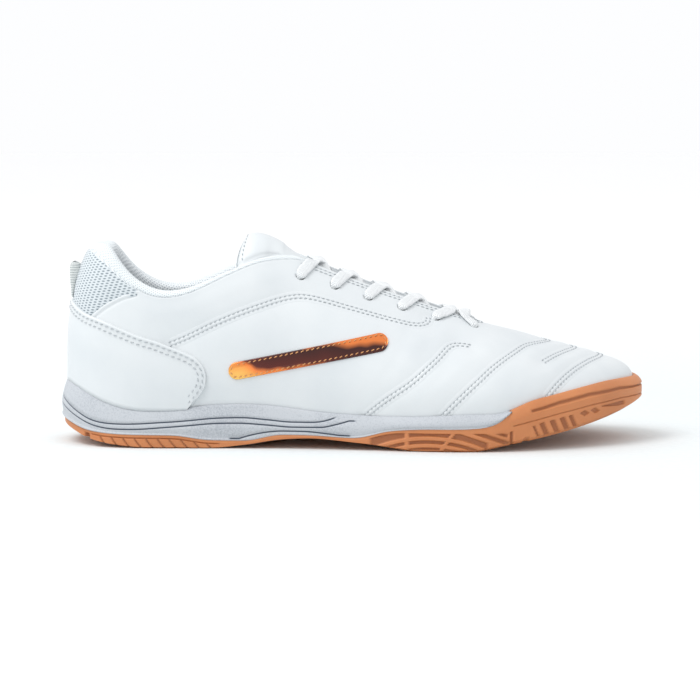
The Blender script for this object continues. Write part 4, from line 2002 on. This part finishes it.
    def build(self, finishes: Finishes) -> None:
        """The side band, then the tread.

        Args:
            finishes: the shoe's finishes.
        """
        angle = np.arange(self.columns) * TURN / self.columns
        along = along_at(angle)
        ground = LAST.height("ground", angle)
        wrap = smooth_step(self.front - 0.004, self.front + 0.004, along)
        top = LAST.height("border", angle) * (1 - wrap) + LAST.height("rim", angle) * wrap
        share = np.concatenate([[0.0, 0.02, 0.06], np.linspace(0.10, 0.97, self.rows - 5), [0.99, 1.0]])[None]
        tall = (top - ground)[:, None]
        z = ground[:, None] + share * tall
        rim_share = LAST.share_at_height(angle, top)
        upper_edge = LAST.skin(angle, rim_share, LAST.gap + LAST.rim)
        inset = 0.0022 * (1 - smooth_step(0.0, 0.14, share)) ** 2 + 0.0003 * smooth_step(0.6, 1.0, share)
        inset = inset + 0.0013 * (1 - smooth_step(0.02, 0.09, along))[:, None]
        turn = np.broadcast_to(angle[:, None], z.shape)
        side = LAST.side_point(turn, np.broadcast_to(inset, z.shape), z)
        lean = smooth_step(0.72, 1.0, share)[..., None] * wrap[:, None, None]
        side = side * (1 - lean) + upper_edge[:, None] * lean
        depth, dark = self.pattern(side[..., 0], z, np.broadcast_to(along[:, None], z.shape),
                                   np.broadcast_to(share, z.shape), top[:, None] - z)
        side = side - LAST.outward(angle)[:, None] * depth[..., None]
        flat = wrap[:, None]
        inner_rows = []
        for s in (1.0, 0.6, 0.25):
            climb = LAST.skin(angle, rim_share * s, 0.0001)
            level = LAST.side_point(angle, 0.0024 + 0.004 * (1 - s), top)
            inner_rows.append(level * (1 - flat) + climb * flat)
        bed = LAST.height("bed", angle)
        seat = np.where(wrap > 0.5, bed, np.minimum(top, bed) - 0.0008)
        inner_rows.append(LAST.side_point(angle, 0.0092, seat))
        inner_rows.append(LAST.side_point(angle, 0.0092, ground + 0.0008))
        inner_rows.append(LAST.side_point(angle, 0.0050, ground + 0.0002))
        grid = np.concatenate([side, np.stack(inner_rows, axis=1)], axis=1)
        mark = np.concatenate([dark, np.zeros((self.columns, len(inner_rows)))], axis=1)
        gum = grid_mesh("gum_side", grid, [finishes.gum], True, marks={"groove": mark})
        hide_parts("outsole")
        self.tread(finishes)

    def tread(self, finishes: Finishes) -> Object:
        """The tread: a plate across the sole with zigzag grooves, two sets of pivot rings and plain arch ribs.

        Args:
            finishes: the shoe's finishes.

        Returns:
            The object.
        """
        soft = 0.0007
        pitch, swing, swing_run = self.tread_rows
        along = np.linspace(0.006, 0.992, 430)
        angle = angle_at(along)
        b = np.linspace(0, 1, 150)[None]
        z = LAST.height("ground", angle)[:, None] + 0 * b
        outer = LAST.side_point(angle, 0.0030, 0.0)[:, None]
        inner = LAST.side_point(TURN - angle, 0.0030, 0.0)[:, None]
        grid = outer * (1 - b[..., None]) + inner * b[..., None]
        x, y = grid[..., 0], grid[..., 1]
        rim = np.minimum(np.linalg.norm(grid - outer, axis=2), np.linalg.norm(grid - inner, axis=2))
        zigzag = np.abs(np.mod(y / swing_run, 2) - 1) * swing
        stripes = band(np.mod(x + zigzag, pitch), 0.0020, 0.0040, soft)
        arch = band(along, 0.31, 0.54, 0.01)[:, None]
        bars = band(np.mod(x + 0.15 * y, self.bars), 0.0030, 0.0045, soft)
        form = stripes * (1 - arch) + 0.5 * bars * arch
        for centre_x, centre_y, reach in ((0.052, 0.004, 0.0170), (-0.094, 0.0, 0.0120)):
            away = np.hypot(x - centre_x, y - centre_y)
            pivot = smooth_step(0.0, 0.001, reach - away)
            form = form * (1 - pivot) + band(np.mod(away, self.rings), 0.0018, 0.0032, soft) * pivot
        form = form * smooth_step(0.0022, 0.0030, rim)
        edge = (1 - smooth_step(0.0, 0.0012, rim)) * 0.0006
        back = grid[:, [-1, 75, 0]]
        back[..., 2] = z[:, :3] + 0.0035
        grid[..., 2] = z + form * self.lug + edge
        mark = np.concatenate([form * 0.7, np.zeros(back.shape[:2])], axis=1)
        body = np.concatenate([grid, back], axis=1)
        return grid_mesh("gum_tread", body, [finishes.gum], marks={"groove": mark})


@dataclass
class Insole:
    """The sock that lies on the bed, cupped a little at the heel."""

    thickness: float = 0.0040
    inset: float = 0.0072

    def build(self, finishes: Finishes) -> None:
        """A plate across the bed whose top rises towards its edge as the fourth power of the distance out.

        Args:
            finishes: the shoe's finishes.
        """
        along = np.linspace(0.03, 0.965, 220)
        angle = angle_at(along)
        b = np.linspace(0, 1, 60)[None]
        outer = LAST.side_point(angle, self.inset, 0.0)[:, None]
        inner = LAST.side_point(TURN - angle, self.inset, 0.0)[:, None]
        low = outer * (1 - b[..., None]) + inner * b[..., None]
        high = low.copy()
        bed = LAST.height("bed", angle)[:, None] + LAST.gap
        cup = 0.0024 * np.clip(1.2 - along / 0.5, 0.15, 1)[:, None] * np.abs(2 * b - 1) ** 4
        low[..., 2] = bed
        high[..., 2] = bed + self.thickness + cup
        sock = plate_mesh("sock_lining", high, low, [finishes.sock])
        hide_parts("insole")


@dataclass
class Studio:
    """Plain pale floor, soft lights and the camera that looks at the outer side from slightly above.

    Attributes:
        distance: from the camera to what it aims at.
        elevation: how far it looks down, in degrees.
        lens: its focal length in mm.
        aim: what it looks at.
        floor_reach: half the width of the floor.
    """

    distance: float = 1.2
    elevation: float = 6.0
    lens: float = 124.71
    aim: tuple[float, float, float] = (-0.0015, 0.0, 0.0440)
    floor_reach: float = 6.0

    def build(self) -> None:
        """Sets up floor, world, lights and camera."""
        self.floor()
        self.world()
        self.light("key softbox", (-0.9, -0.7, 1.0), 0.5, 2.8)
        self.light("top softbox", (-0.62, -0.30, 1.22), 0.7, 7.8)
        self.camera()

    def floor(self) -> None:
        """A wide plane of white paper that takes the shadow."""
        mesh = bpy.data.meshes.new("studio_floor")
        reach = self.floor_reach
        mesh.from_pydata([(-reach, -reach, 0), (reach, -reach, 0), (reach, reach, 0), (-reach, reach, 0)], [],
                         [(0, 1, 2, 3)])
        mesh.materials.append(WhitePaper("white paper floor", "#E2E7E8", "#DEE3E4", 0.9).make())
        thing = bpy.data.objects.new("studio_floor", mesh)
        bpy.context.scene.collection.objects.link(thing)

    def world(self) -> None:
        """An even white surround."""
        world = bpy.data.worlds.new("white surround")
        world.use_nodes = True
        sky = world.node_tree.nodes["Background"]
        fill(world.node_tree, sky, {"Color": (0.985, 0.99, 1.0, 1.0), "Strength": 1.0})
        bpy.context.scene.world = world
        bpy.context.scene.view_settings.view_transform = "Standard"

    def light(self, name: str, place: tuple[float, float, float], size: float, power: float) -> None:
        """A square soft light that faces the shoe.

        Args:
            name: its name.
            place: where it stands.
            size: its width in metres.
            power: its power in watts.
        """
        data = bpy.data.lights.new(name, "AREA")
        data.size, data.energy = size, power
        thing = bpy.data.objects.new(name, data)
        thing.location = place
        to = np.array(self.aim) - np.array(place)
        level = math.hypot(to[0], to[1])
        thing.rotation_euler = (math.atan2(level, -to[2]), 0, math.atan2(-to[0], to[1]))
        bpy.context.scene.collection.objects.link(thing)

    def camera(self) -> None:
        """The camera, level along the shoe and tilted down a few degrees."""
        data = bpy.data.cameras.new("side camera")
        data.lens = self.lens
        thing = bpy.data.objects.new("side camera", data)
        tilt = math.radians(self.elevation)
        thing.location = (self.aim[0], self.aim[1] - self.distance * math.cos(tilt),
                          self.aim[2] + self.distance * math.sin(tilt))
        thing.rotation_euler = (math.pi / 2 - tilt, 0, 0)
        bpy.context.scene.collection.objects.link(thing)
        bpy.context.scene.camera = thing


def report(name: str) -> None:
    """Logs a finished piece and the triangles so far."""
    count = sum(len(o.data.polygons) for o in bpy.data.objects if o.type == "MESH" and "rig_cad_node" not in o)
    log.info("%s built, %d faces in all", name, count)


def main() -> None:
    """Builds and dresses the shoe, piece by piece."""
    logging.basicConfig(level=logging.INFO, format="%(message)s")
    Studio().build()
    finishes = Finishes()
    stitches = StitchRows()
    upper = Upper()
    upper.build(finishes)
    report("upper")
    upper.sew(finishes, stitches)
    report("seams")
    HeelCounter().build(finishes, stitches)
    report("heel counter")
    stitches.build("leather_stitches", finishes.thread)
    report("stitches")
    Collar().build(finishes, upper)
    report("collar")
    Tongue().build(finishes)
    report("tongue")
    Laces().build(finishes, upper)
    report("laces")
    PullTab().build(finishes)
    SideBar().build(finishes)
    Midsole().build(finishes)
    report("midsole")
    Outsole().build(finishes)
    report("outsole")
    Insole().build(finishes)
    report("insole")


if __name__ == "__main__":
    main()
